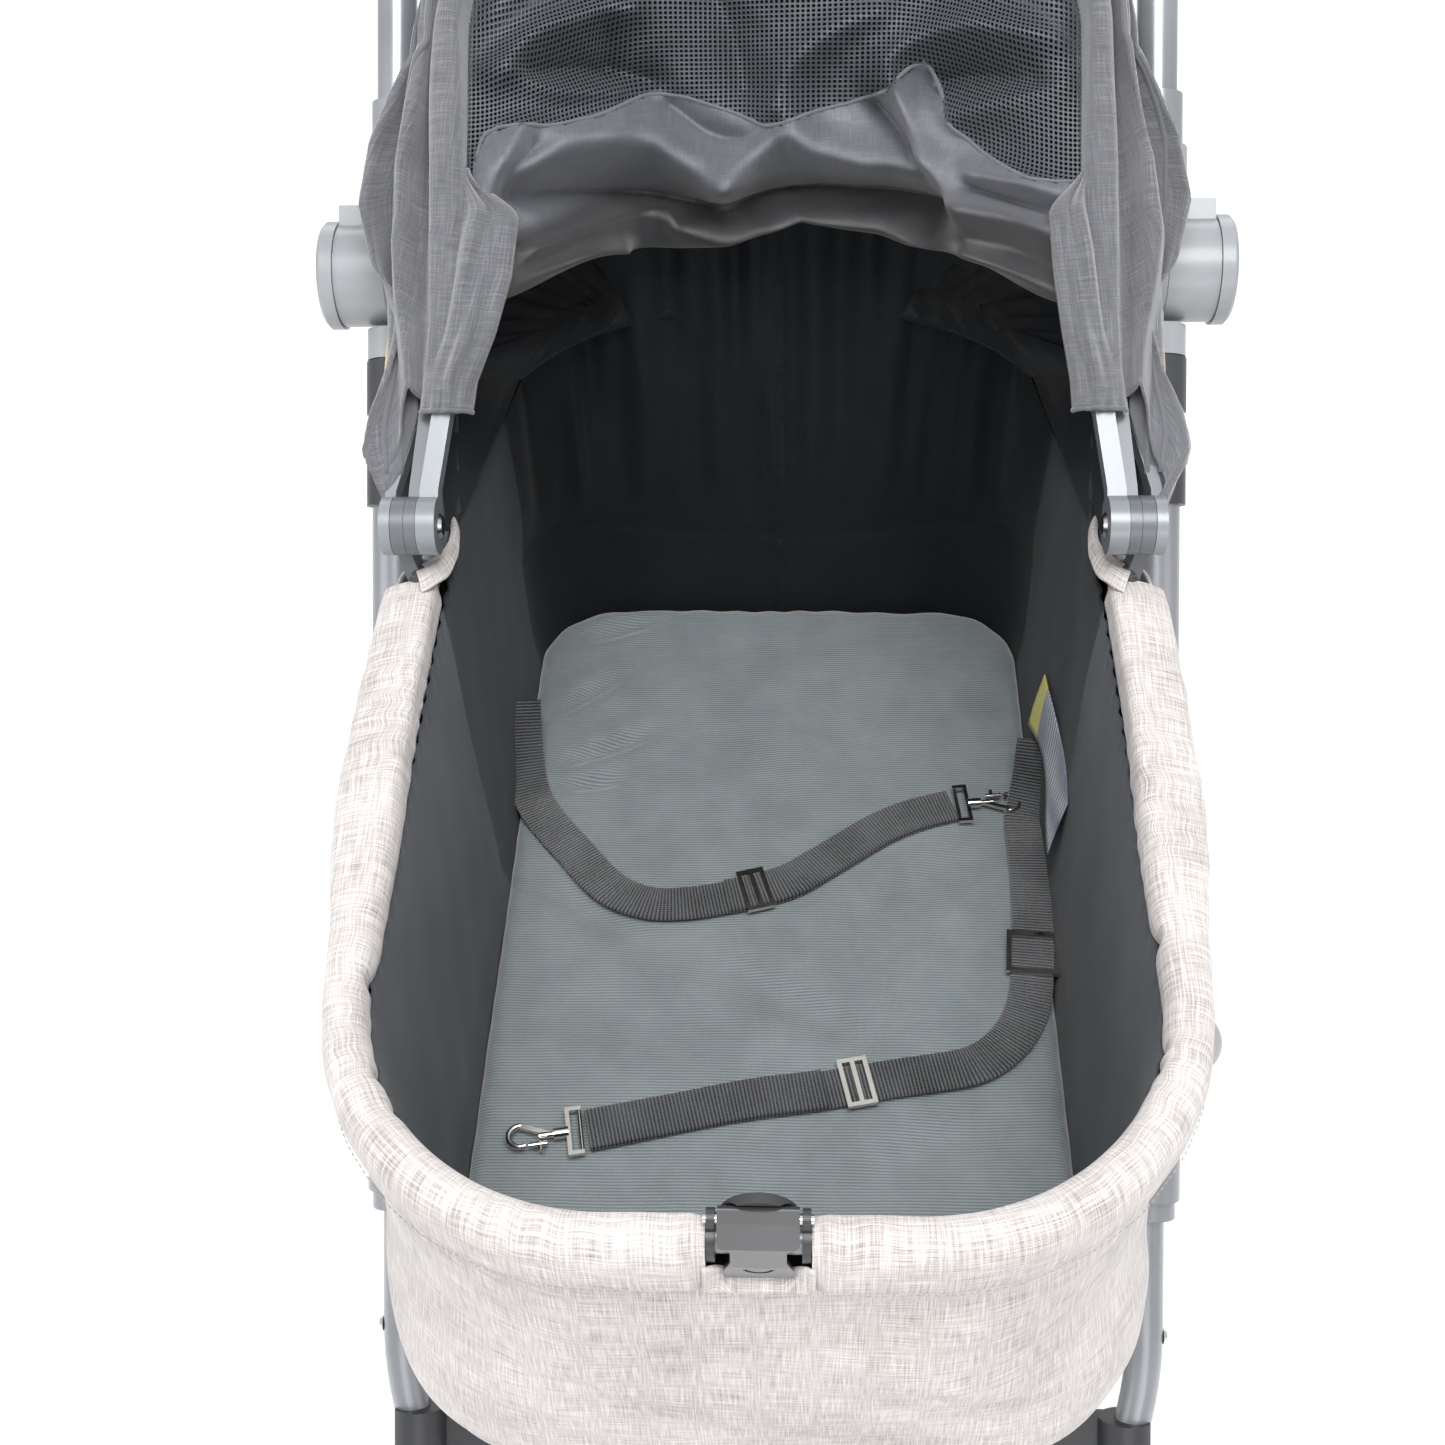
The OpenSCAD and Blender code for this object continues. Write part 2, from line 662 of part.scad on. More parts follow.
// Steel pin with the torsion spring coiled on it inside the barrel
spring_turns = 6;
spring_steps = 12;
function spring_point(i) = let (a = i * 360 / spring_steps)
  [-5 + 10 * i / (spring_turns * spring_steps), 3.1 * cos(a), 3.1 * sin(a)];
function spring_ring(i) = let (a = i * 360 / spring_steps, c = spring_point(i), r = 0.5)
  [for (b = [0 : 60 : 300]) c + [r * cos(b), r * sin(b) * cos(a), r * sin(b) * sin(a)]];

module latch_spring() {
  n = spring_turns * spring_steps;
  color(nickel) translate([0, latch_y, latch_z]) {
    polyhedron(points = [for (i = [0 : n]) for (q = spring_ring(i)) q],
      faces = swept_faces(n + 1, 6), convexity = 10);
    along_x(-21.6, latch_pin_r, 43.2);
  }
}

// ---------- hood ----------

// U-shaped rod in the bow's own plane, half width x, starting low above the hinge
module bow_rod(x, low, r) {
  both_sides() {
    translate([x, 0, low]) cylinder(r = r, h = bow_reach - bow_corner - low);
    translate([x - bow_corner, 0, bow_reach - bow_corner]) bend(bow_corner, r);
  }
  translate([0, 0, bow_reach]) along_x(-x + bow_corner, r, 2 * (x - bow_corner));
}

module band_section() {
  difference() {
    square(11, center = true);
    circle(r = rod_r + run, $fn = 40);
  }
}

// Fabric band sewn round a bow
module hood_band(x) {
  low = arm_end + 4;
  both_sides() {
    translate([x, 0, low]) linear_extrude(bow_reach - bow_corner - low) band_section();
    translate([x - bow_corner, 0, bow_reach - bow_corner]) rotate([90, 0, 0])
      rotate_extrude(angle = 90, $fn = 96) translate([bow_corner, 0]) band_section();
  }
  translate([-x + bow_corner, 0, bow_reach]) rotate([0, 90, 0]) linear_extrude(2 * (x - bow_corner)) band_section();
}

module bow_arms(x_in, x_out, x_end) {
  both_sides() difference() {
    union() {
      along_x(x_in, knuckle_r, x_out - x_in);
      rotate([90, 0, 0]) translate([0, 0, -5]) linear_extrude(10)
        polygon([[x_in, 0], [x_out, 0], [x_out, 18], [x_end + 4.9, arm_end], [x_end - 4.9, arm_end], [x_in, 18]]);
    }
    along_x(x_in - 1, hinge_pin_r + run, x_out - x_in + 2);
    translate([x_end, 0, arm_end - 15]) cylinder(r = rod_r + run, h = 20);
  }
}

module canopy_bases() {
  color(plastic_grey) both_sides() difference() {
    union() {
      translate([0, hinge_y, hinge_z]) along_x(186.2 + gap, knuckle_r, 7 - 2 * gap);
      translate([0, hinge_y + 5.5, 0]) rotate([90, 0, 0]) linear_extrude(11)
        polygon([[186.3, hinge_z], [193.1, hinge_z], [193.1, hinge_z - 16], [190.5, rim_z + 4], [188, rim_z - 7],
          [178, rim_z - 7], [178, rim_z + 8], [183.5, rim_z + 9], [186.3, hinge_z - 14]]);
      translate([rim_x + 3, hinge_y, rim_z + 8.5]) cylinder(r = 7, h = 3);
    }
    translate([0, hinge_y, hinge_z]) along_x(180, hinge_pin_r, 20);
    on_rim() rim_path(rim_r + run);
  }
}

module rear_bow_arms() {
  color(plastic_grey) bow_frame(front_bow_angle + 2 * bow_step) bow_arms(193.4, 199, rear_bow_x);
}

module mid_bow_arms() {
  color(plastic_grey) bow_frame(front_bow_angle + bow_step) bow_arms(180.3, 186.1, mid_bow_x);
}

module front_bow_arms() {
  color(plastic_grey) bow_frame(front_bow_angle) bow_arms(170.4, 180.1, front_bow_x);
}

module rear_bow() {
  color(steel_grey) bow_frame(front_bow_angle + 2 * bow_step) bow_rod(rear_bow_x, arm_end - 14.9, rod_r);
}

module mid_bow() {
  color(steel_grey) bow_frame(front_bow_angle + bow_step) bow_rod(mid_bow_x, arm_end - 14.9, rod_r);
}

module front_bow() {
  color(steel_grey) bow_frame(front_bow_angle) bow_rod(front_bow_x, arm_end - 14.9, rod_r);
}

module hood_rear() {
  color(charcoal) bow_frame(front_bow_angle + 2 * bow_step) hood_band(rear_bow_x);
}

module hood_mid() {
  color(charcoal) bow_frame(front_bow_angle + bow_step) hood_band(mid_bow_x);
}

// Front band and the loose front panel that hangs in folds behind it
module hood_front() {
  color(charcoal) {
    bow_frame(front_bow_angle) hood_band(front_bow_x);
    translate([-140, 236, 750]) cube([280, 34, 150]);
  }
}

module hood_back() {
  color(charcoal) translate([0, cabin_back - 6, 696.5]) rotate([-30, 0, 0]) translate([-150, 0, 0]) cube([300, 4, 157.5]);
}

// ---------- basket ----------

module basket_section(arc, front, back, top) {
  intersection() {
    translate([leg_pivot_y, leg_pivot_z]) circle(r = arc, $fn = 180);
    translate([front, 100]) square([back - front, top - 100]);
  }
}

module basket() {
  color(charcoal) difference() {
    translate([-172, 0, 0]) rotate([90, 0, 90]) linear_extrude(344) basket_section(basket_arc, -215, 190, 318);
    translate([-169, 0, 0]) rotate([90, 0, 90]) linear_extrude(338) basket_section(basket_arc - 3, -212, 187, 330);
  }
}

module basket_straps() {
  color(webbing) {
    both_sides() {
      translate([140, 190.2, 296]) cube([20, 1.6, tub_low - 296.2]);
      translate([140, -263.5, 312.5]) cube([20, 48.3, 1.6]);
      translate([140, -216.8, 296]) cube([20, 1.6, 18]);
    }
  }
}

// ---------- leashes ----------

module leash_left_strap() {
  color(webbing) strap(left_route);
}

module leash_right_strap() {
  color(webbing) strap(right_route);
}

module slider() {
  flat_ring(31, 17, 2.6, 2.6);
  cube([2.6, 30, 2.6], center = true);
}

// Snap hook: the eye that holds the strap's end, the swivel boss, and the hook with its open mouth
module snap_hook() {
  rotate([90, 0, 0]) cylinder(r = 1.15, h = 28, center = true, $fn = 32);
  difference() {
    translate([3.3, 0, 0]) flat_ring(30, 9, 2.4, 2.6);
    translate([-2, -12.6, -2]) cube([3.2, 25.2, 4]);
  }
  translate([6.6, 0, 0]) along_x(0, 3.2, 8.2);
  translate([14, 0, 0]) along_x(0, 1.8, 9);
  translate([16, -1.2, -1.2]) rotate([0, 0, -25]) cube([18.2, 2.6, 2.4]);
  translate([33, -1.5, 0]) rotate([0, 0, -100]) rotate_extrude(angle = 210, $fn = 48)
    translate([6.5, 0]) circle(r = 1.7, $fn = 24);
}

module thumb_bolt() {
  translate([18.8, 5, 0]) along_x(0, 1.5, 10);
  translate([22.5, 5, 0]) rotate([-90, 0, 0]) cylinder(r = 1.4, h = 4);
}

module at_hook(p, turn) {
  translate([p[0], p[1], hook_z]) rotate([0, 0, turn]) children();
}

left_eye = [115.5, 66.4];
left_turn = 6;
right_eye = [-103.4, -172.6];
right_turn = 190;

module leash_left_fittings() {
  color(nickel) translate([-11, -4, slider_z]) rotate([0, 0, 16]) slider();
}

module leash_right_fittings() {
  color(nickel) translate([48, -140, slider_z]) rotate([0, 0, 12]) slider();
  color(dark_plastic) translate([153, -50, slider_z]) rotate([0, 0, 85]) flat_ring(31, 30, 3, 2.6);
}

module left_hook() {
  color(nickel) at_hook(left_eye, left_turn) snap_hook();
}

module left_trigger() {
  color(nickel) at_hook(left_eye, left_turn) thumb_bolt();
}

module right_hook() {
  color(nickel) at_hook(right_eye, right_turn) snap_hook();
}

module right_trigger() {
  color(nickel) at_hook(right_eye, right_turn) thumb_bolt();
}

front_leg_tube();
lower_sleeves();
fold_bases();
frame_pins();
leg_brackets();
rim_mounts();
rim_tube();
rim_hem();
tub_shell();
tub_lining();
floor_board();
pad();
floor_crossbar();
front_brace();
caster_housings();
canopy_bases();
latch_base();
hood_back();
basket();
basket_straps();
leash_left_strap();
leash_left_fittings();
leash_right_strap();
leash_right_fittings();
left_hook();
left_trigger();
right_hook();
right_trigger();
latch_clip();
latch_spring();
fold_arms();
hub_caps();
upper_sleeves();
handle_tube();
handle_grip();
rear_legs();
axle_brackets();
rear_crossbar();
rear_axle();
brake_pedal();
rear_tyre(-1);  // rear_tyre_left
rear_rim(-1);  // rear_rim_left
rear_tyre(1);  // rear_tyre_right
rear_rim(1);  // rear_rim_right
fork(-1);  // fork_left
fork(1);  // fork_right
front_tyre(-1);  // front_tyre_left
front_rim(-1);  // front_rim_left
front_tyre(1);  // front_tyre_right
front_rim(1);  // front_rim_right
rear_bow();
rear_bow_arms();
hood_rear();
mid_bow();
mid_bow_arms();
hood_mid();
front_bow();
front_bow_arms();
hood_front();
lock_knob();
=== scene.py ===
# Pet stroller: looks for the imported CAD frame. All lengths in metres, in the row frame.
import math

import bpy
import numpy as np
from mathutils import Matrix, Vector


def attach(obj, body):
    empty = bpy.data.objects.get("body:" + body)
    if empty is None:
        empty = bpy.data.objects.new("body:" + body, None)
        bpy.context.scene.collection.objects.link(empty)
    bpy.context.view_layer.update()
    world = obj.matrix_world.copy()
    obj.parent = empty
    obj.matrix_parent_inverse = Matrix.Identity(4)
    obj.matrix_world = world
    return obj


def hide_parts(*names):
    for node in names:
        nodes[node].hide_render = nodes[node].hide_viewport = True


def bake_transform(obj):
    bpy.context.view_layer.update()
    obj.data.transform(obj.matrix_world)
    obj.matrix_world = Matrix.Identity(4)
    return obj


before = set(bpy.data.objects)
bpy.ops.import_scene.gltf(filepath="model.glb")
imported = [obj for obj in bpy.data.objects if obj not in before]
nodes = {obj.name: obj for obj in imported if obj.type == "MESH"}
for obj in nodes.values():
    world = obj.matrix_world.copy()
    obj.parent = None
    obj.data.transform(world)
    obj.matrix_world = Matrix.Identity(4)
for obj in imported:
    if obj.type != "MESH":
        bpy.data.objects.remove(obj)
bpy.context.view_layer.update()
scene = bpy.context.scene
MM = 0.001


# ---------- camera and light ----------
VIEW_PLACE = (0.01466, -0.69517, 1.31664)
PITCH, YAW, ROLL = math.radians(45.957), math.radians(3.452), math.radians(-2.288)
LENS, SENSOR = 45.0, 36.0
WORLD_LIGHT = 0.80
LIGHTS = {  # place, aimed at, size, watts
    "key": ((0.1, -0.75, 2.6), (0, -0.05, 0.55), (1.3, 1.1), 52),
    "left": ((-2.0, -0.9, 1.5), (0, 0, 0.6), (1.2, 1.4), 12),
    "right": ((2.0, -0.9, 1.5), (0, 0, 0.6), (1.2, 1.4), 6),
    "front": ((0.2, -2.6, 1.0), (0, -0.3, 0.5), (1.6, 1.0), 12),
    "back": ((0, 2.4, 2.0), (0, 0, 0.6), (2.0, 1.2), 16),
}


def make_camera():
    forward = Vector((-math.sin(YAW) * math.cos(PITCH), math.cos(YAW) * math.cos(PITCH), -math.sin(PITCH)))
    level = Vector((math.cos(YAW), math.sin(YAW), 0))
    up = level.cross(forward)
    right = math.cos(ROLL) * level + math.sin(ROLL) * up
    above = -math.sin(ROLL) * level + math.cos(ROLL) * up
    data = bpy.data.cameras.new("camera")
    data.lens, data.sensor_width = LENS, SENSOR
    data.clip_start, data.clip_end = 0.05, 30
    cam = bpy.data.objects.new("camera", data)
    scene.collection.objects.link(cam)
    m = Matrix((right, above, -forward)).transposed().to_4x4()
    m.translation = Vector(VIEW_PLACE)
    cam.matrix_world = m
    scene.camera = cam


def area_light(name, place, target, size, power):
    data = bpy.data.lights.new(name, "AREA")
    data.shape, data.size, data.size_y = "RECTANGLE", size[0], size[1]
    data.energy = power
    ob = bpy.data.objects.new(name, data)
    scene.collection.objects.link(ob)
    ob.location = place
    ob.rotation_mode = "QUATERNION"
    ob.rotation_quaternion = (Vector(target) - Vector(place)).to_track_quat("-Z", "Y")


make_camera()
world = bpy.data.worlds.new("studio")
scene.world = world
world.use_nodes = True
world.node_tree.nodes["Background"].inputs["Color"].default_value = (1, 1, 1, 1)
world.node_tree.nodes["Background"].inputs["Strength"].default_value = WORLD_LIGHT
for name, (place, target, size, power) in LIGHTS.items():
    area_light(name, place, target, size, power)
scene.view_settings.view_transform = "Standard"


# ---------- material helpers ----------
BAND = 0.3183  # wave texture scale at which one unit of the coordinate holds one band
def new_material(name, colour, rough, metal=0.0, spec=0.5, sheen=0.0, coat=0.0):
    m = bpy.data.materials.new(name)
    m.use_nodes = True
    b = m.node_tree.nodes["Principled BSDF"]
    b.inputs["Base Color"].default_value = (*colour, 1)
    b.inputs["Roughness"].default_value = rough
    b.inputs["Metallic"].default_value = metal
    b.inputs["Specular IOR Level"].default_value = spec
    if sheen:
        b.inputs["Sheen Weight"].default_value = sheen
        b.inputs["Sheen Roughness"].default_value = 0.45
    if coat:
        b.inputs["Coat Weight"].default_value = coat
        b.inputs["Coat Roughness"].default_value = 0.15
    m.diffuse_color = (*colour, 1)
    return m


class Net:
    """Short names for building a node tree."""

    def __init__(self, m):
        self.t = m.node_tree
        self.b = self.t.nodes["Principled BSDF"]

    def node(self, kind, **values):
        n = self.t.nodes.new(kind)
        for k, v in values.items():
            setattr(n, k, v)
        return n

    def link(self, a, b):
        self.t.links.new(a, b)

    def coords(self, which, scale):
        c = self.node("ShaderNodeTexCoord")
        m = self.node("ShaderNodeMapping")
        m.inputs["Scale"].default_value = scale
        self.link(c.outputs[which], m.inputs["Vector"])
        return m.outputs["Vector"]

    def noise(self, vec, scale, detail=3, rough=0.5):
        n = self.node("ShaderNodeTexNoise")
        n.inputs["Scale"].default_value = scale
        n.inputs["Detail"].default_value = detail
        n.inputs["Roughness"].default_value = rough
        self.link(vec, n.inputs["Vector"])
        return n.outputs["Fac"]

    def wave(self, vec, direction, scale, distortion=0.0, dscale=1.0):
        n = self.node("ShaderNodeTexWave", wave_type="BANDS", bands_direction=direction, wave_profile="SIN")
        n.inputs["Scale"].default_value = scale
        n.inputs["Distortion"].default_value = distortion
        n.inputs["Detail"].default_value = 1
        n.inputs["Detail Scale"].default_value = dscale
        self.link(vec, n.inputs["Vector"])
        return n.outputs["Fac"]

    def math(self, op, a, b):
        n = self.node("ShaderNodeMath", operation=op)
        for i, v in enumerate((a, b)):
            if isinstance(v, (int, float)):
                n.inputs[i].default_value = v
            else:
                self.link(v, n.inputs[i])
        return n.outputs["Value"]

    def ramp(self, fac, stops):
        n = self.node("ShaderNodeValToRGB")
        e = n.color_ramp.elements
        while len(e) < len(stops):
            e.new(0.5)
        for s, (p, c) in zip(e, stops):
            s.position = p
            s.color = (*c, 1)
        self.link(fac, n.inputs["Fac"])
        return n.outputs["Color"]

    def span(self, fac, low, high):
        n = self.node("ShaderNodeMapRange")
        n.inputs["To Min"].default_value = low
        n.inputs["To Max"].default_value = high
        self.link(fac, n.inputs["Value"])
        return n.outputs["Result"]

    def bump(self, height, strength, distance):
        n = self.node("ShaderNodeBump")
        n.inputs["Strength"].default_value = strength
        n.inputs["Distance"].default_value = distance
        self.link(height, n.inputs["Height"])
        self.link(n.outputs["Normal"], self.b.inputs["Normal"])


def slub_cloth(name, dark, mid, light, thread, sheen, rough=0.9, contrast=1.0, spec=0.25):
    """Heather cloth of crossed threads with slubs, thread metres apart. It needs UVs in metres."""
    m = new_material(name, mid, rough, spec=spec, sheen=sheen)
    n = Net(m)
    k = 1 / thread
    warp = n.noise(n.coords("UV", (k * 1.1, k * 0.035, 1)), 1, 4, 0.65)
    weft = n.noise(n.coords("UV", (k * 0.035, k * 1.1, 1)), 1, 4, 0.65)
    patch = n.noise(n.coords("UV", (18, 18, 1)), 1, 3)
    streak = n.math("MAXIMUM", warp, weft)
    low = n.math("MINIMUM", warp, weft)
    mixed = n.math("ADD", n.math("MULTIPLY", streak, 0.5), n.math("MULTIPLY", low, 0.35))
    mixed = n.math("ADD", mixed, n.math("MULTIPLY", patch, 0.15))
    w = 0.12 / contrast
    colour = n.ramp(mixed, [(0.5 - 1.3 * w, dark), (0.5, mid), (0.5 + w, light)])
    n.link(colour, n.b.inputs["Base Color"])
    wx = n.wave(n.coords("UV", (k, k, k)), "X", BAND)
    wy = n.wave(n.coords("UV", (k, k, k)), "Y", BAND)
    height = n.math("ADD", n.math("MULTIPLY", wx, wy), n.math("MULTIPLY", streak, 1.2))
    n.bump(height, 0.55, thread * 0.45)
    return m


def paint_shade_band(m, low, high, depth):
    """Paints shade into a cloth: darkens it from low to high, in metres down its UVs, to depth times its
    colour.
    """
    n = Net(m)
    colour = n.b.inputs["Base Color"].links[0].from_socket
    split = n.node("ShaderNodeSeparateXYZ")
    n.link(n.coords("UV", (1, 1, 1)), split.inputs["Vector"])
    drift = n.math("MULTIPLY", n.math("SUBTRACT", n.noise(n.coords("UV", (1, 1, 1)), 9, 2), 0.5), 0.030)
    place = n.math("ADD", split.outputs["Y"], drift)
    fade = n.node("ShaderNodeMapRange", interpolation_type="SMOOTHSTEP")
    fade.inputs["From Min"].default_value, fade.inputs["From Max"].default_value = low, high
    fade.inputs["To Min"].default_value, fade.inputs["To Max"].default_value = 1.0, depth
    n.link(place, fade.inputs["Value"])
    mix = n.node("ShaderNodeVectorMath", operation="SCALE")
    n.link(colour, mix.inputs[0])
    n.link(fade.outputs["Result"], mix.inputs["Scale"])
    n.link(mix.outputs["Vector"], n.b.inputs["Base Color"])


def plain_cloth(name, colour, light, thread, sheen, rough=0.85, coords="UV"):
    """Plain weave, thread metres apart, in two tones."""
    m = new_material(name, colour, rough, spec=0.3, sheen=sheen)
    n = Net(m)
    k = 1 / thread
    vec = n.coords(coords, (k, k, k))
    wx = n.wave(vec, "X", BAND)
    wy = n.wave(vec, "Y", BAND)
    weave = n.math("MULTIPLY", wx, wy)
    patch = n.noise(n.coords("Object", (1, 1, 1)), 22, 4, 0.6)
    tone = n.math("ADD", n.math("MULTIPLY", weave, 0.45), n.math("MULTIPLY", patch, 0.55))
    n.link(n.ramp(tone, [(0.25, colour), (0.75, light)]), n.b.inputs["Base Color"])
    n.bump(weave, 0.5, thread * 0.4)
    return m


def ribbed_cloth(name, colour, light, pitch, sheen, direction="X", coords="UV", rough=0.8, strength=0.6):
    """Cloth with ribs pitch metres apart."""
    m = new_material(name, colour, rough, spec=0.3, sheen=sheen)
    n = Net(m)
    k = 1 / pitch
    vec = n.coords(coords, (k, k, k))
    rib = n.wave(vec, direction, BAND, 0.6, 2.0)
    cross = n.wave(vec, "Y" if direction == "X" else "X", 0.45)
    patch = n.noise(n.coords("Object", (1, 1, 1)), 30, 4, 0.6)
    tone = n.math("ADD", n.math("MULTIPLY", rib, 0.5), n.math("MULTIPLY", patch, 0.5))
    n.link(n.ramp(tone, [(0.2, colour), (0.8, light)]), n.b.inputs["Base Color"])
    n.bump(n.math("ADD", rib, n.math("MULTIPLY", cross, 0.4)), strength, pitch * 0.35)
    return m


def net_cloth(name, colour, pitch):
    """Open mesh netting: holes in a grid, pitch metres apart."""
    m = new_material(name, colour, 0.5, spec=0.5, sheen=0.12)
    n = Net(m)
    k = 1 / pitch
    wx = n.wave(n.coords("UV", (k, k, k)), "X", BAND)
    wy = n.wave(n.coords("UV", (k, k, k)), "Y", BAND)
    hole = n.math("MULTIPLY", wx, wy)
    solid = n.math("LESS_THAN", hole, 0.3)
    n.link(solid, n.b.inputs["Alpha"])
    n.bump(n.math("SUBTRACT", 1.0, hole), 0.8, pitch * 0.3)
    return m


def grained(name, colour, rough, metal=0.0, spec=0.5, grain=900, strength=0.25, depth=0.00008, coat=0.0,
            wear=0.12):
    """Painted, moulded or cast surface with a fine grain, broad unevenness and slightly uneven gloss."""
    m = new_material(name, colour, rough, metal, spec, coat=coat)
    n = Net(m)
    vec = n.coords("Object", (1, 1, 1))
    broad = n.noise(vec, 9, 4, 0.6)
    fine = n.noise(vec, grain, 2)
    n.link(n.span(broad, max(0.02, rough - wear), min(1, rough + wear)), n.b.inputs["Roughness"])
    dim = tuple(c * 0.86 for c in colour)
    lift = tuple(min(1, c * 1.12 + 0.002) for c in colour)
    n.link(n.ramp(broad, [(0.35, dim), (0.7, lift)]), n.b.inputs["Base Color"])
    n.bump(fine, strength, depth)
    return m


def brushed(name, colour, rough):
    """Bare metal with fine lines."""
    m = new_material(name, colour, rough, 1.0)
    n = Net(m)
    line = n.noise(n.coords("Object", (40, 900, 900)), 1, 3, 0.6)
    n.link(n.span(line, max(0.03, rough - 0.1), rough + 0.12), n.b.inputs["Roughness"])
    dim = tuple(c * 0.85 for c in colour)
    tone = n.noise(n.coords("Object", (1, 1, 1)), 60, 3)
    n.link(n.ramp(tone, [(0.3, dim), (0.7, colour)]), n.b.inputs["Base Color"])
    n.bump(line, 0.12, 0.00004)
    return m


M = {
    "linen": slub_cloth("linen", (0.21, 0.185, 0.178), (0.475, 0.442, 0.428), (0.66, 0.63, 0.615), 0.00085,
                        0.3, contrast=1.25),
    "hood": slub_cloth("hood_cloth", (0.046, 0.047, 0.053), (0.108, 0.110, 0.121), (0.20, 0.203, 0.218),
                       0.0009, 0.55, 0.8, 0.9, 0.35),
    "satin": slub_cloth("hood_satin", (0.040, 0.041, 0.051), (0.080, 0.083, 0.100), (0.150, 0.154, 0.180),
                        0.0007, 0.30, 0.38, 0.8, 1.0),
    "lining": plain_cloth("lining_cloth", (0.034, 0.040, 0.050), (0.076, 0.085, 0.101), 0.0012, 0.16),
    # The next two are darkened copies of the lining cloth: painted shade for the tub's shaded sides, and
    # deeper painted shade for its back wall and the hood's back panel.
    "shade": plain_cloth("side_cloth_painted_shade", (0.010, 0.012, 0.016), (0.024, 0.028, 0.035), 0.0010, 0.10, 0.7),
    "dark": plain_cloth("back_cloth_painted_shade", (0.0045, 0.0055, 0.0075), (0.0115, 0.0135, 0.0175), 0.0009, 0.06, 0.62),
    "pad": ribbed_cloth("pad_cloth", (0.120, 0.142, 0.149), (0.262, 0.292, 0.303), 0.0019, 0.5, "Y",
                        "Object", strength=0.4),
    "net": net_cloth("netting", (0.050, 0.056, 0.066), 0.0031),
    "web": ribbed_cloth("webbing", (0.006, 0.0065, 0.007), (0.15, 0.155, 0.162), 0.0021, 0.3, "X", "UV",
                        0.45, 1.0),
    "piping": plain_cloth("piping_cloth", (0.52, 0.38, 0.20), (0.72, 0.58, 0.36), 0.0010, 0.2,
                          coords="Object"),
    "basket": plain_cloth("basket_cloth", (0.022, 0.022, 0.024), (0.045, 0.045, 0.048), 0.0014, 0.4),
    "label": plain_cloth("label_cloth", (0.16, 0.18, 0.23), (0.55, 0.60, 0.66), 0.0045, 0.2, coords="Object"),
    "label_tip": plain_cloth("label_tip_cloth", (0.60, 0.52, 0.06), (0.75, 0.68, 0.15), 0.0005, 0.2,
                             coords="Object"),
    "thread_light": plain_cloth("thread_light", (0.32, 0.30, 0.285), (0.50, 0.47, 0.45), 0.0003, 0.2,
                                coords="Object"),
    "paint": grained("frame_paint", (0.235, 0.245, 0.262), 0.34, 0.3, 0.6, 1400, 0.2, 0.00005, coat=0.3),
    "tube": grained("tube_paint", (0.25, 0.262, 0.278), 0.30, 0.45, 0.6, 1400, 0.2, 0.00005, coat=0.3),
    "joint": grained("joint_plastic", (0.028, 0.029, 0.032), 0.42, 0.0, 0.5, 700, 0.35, 0.0001),
    "hub": grained("hub_plastic", (0.27, 0.285, 0.30), 0.36, 0.0, 0.55, 800, 0.3, 0.00008, coat=0.2),
    "hinge": grained("hinge_plastic", (0.200, 0.216, 0.233), 0.33, 0.1, 0.6, 900, 0.25, 0.00006, coat=0.25),
    "hinge_dark": grained("hinge_dark_plastic", (0.105, 0.115, 0.126), 0.36, 0.1, 0.55, 900, 0.25, 0.00006,
                          coat=0.2),
    "knob": grained("knob_plastic", (0.30, 0.29, 0.30), 0.38, 0.0, 0.5, 800, 0.25, 0.00006),
    "clip": grained("clip_metal", (0.17, 0.17, 0.175), 0.26, 0.8, 0.5, 1200, 0.3, 0.00006),
    "nickel": brushed("nickel", (0.78, 0.75, 0.70), 0.16),
    "steel": brushed("pin_steel", (0.66, 0.66, 0.66), 0.22),
    "tyre": grained("tyre_rubber", (0.022, 0.022, 0.023), 0.72, 0.0, 0.3, 500, 0.5, 0.00018),
    "rim": grained("rim_plastic", (0.060, 0.062, 0.066), 0.40, 0.0, 0.5, 700, 0.3, 0.0001),
    "grip": grained("grip_foam", (0.018, 0.018, 0.019), 0.85, 0.0, 0.25, 1100, 0.8, 0.00025),
    "board": grained("board_plastic", (0.05, 0.05, 0.05), 0.6, 0.0, 0.4, 600, 0.4, 0.0001),
}

CAD_LOOK = {
    "paint": "lower_sleeves rim_tube floor_crossbar upper_sleeves rear_legs rear_crossbar "
             "rear_bow mid_bow front_bow",
    "tube": "front_leg_tube handle_tube",
    "joint": "leg_brackets rim_mounts front_brace caster_housings latch_base axle_brackets "
             "fork_left fork_right",
    "hub": "hub_caps brake_pedal fold_bases fold_arms",
    "hinge": "rear_bow_arms front_bow_arms",
    "hinge_dark": "canopy_bases mid_bow_arms",
    "knob": "lock_knob",
    "clip": "latch_clip",
    "nickel": "leash_left_fittings leash_right_fittings left_hook left_trigger right_hook right_trigger",
    "steel": "frame_pins latch_spring rear_axle",
    "tyre": "rear_tyre_left rear_tyre_right front_tyre_left front_tyre_right",
    "rim": "rear_rim_left rear_rim_right front_rim_left front_rim_right",
    "grip": "handle_grip",
    "board": "floor_board",
    "web": "basket_straps",
}
for look, names in CAD_LOOK.items():
    for n in names.split():
        data = nodes[n].data
        data.materials.clear()
        data.materials.append(M[look])


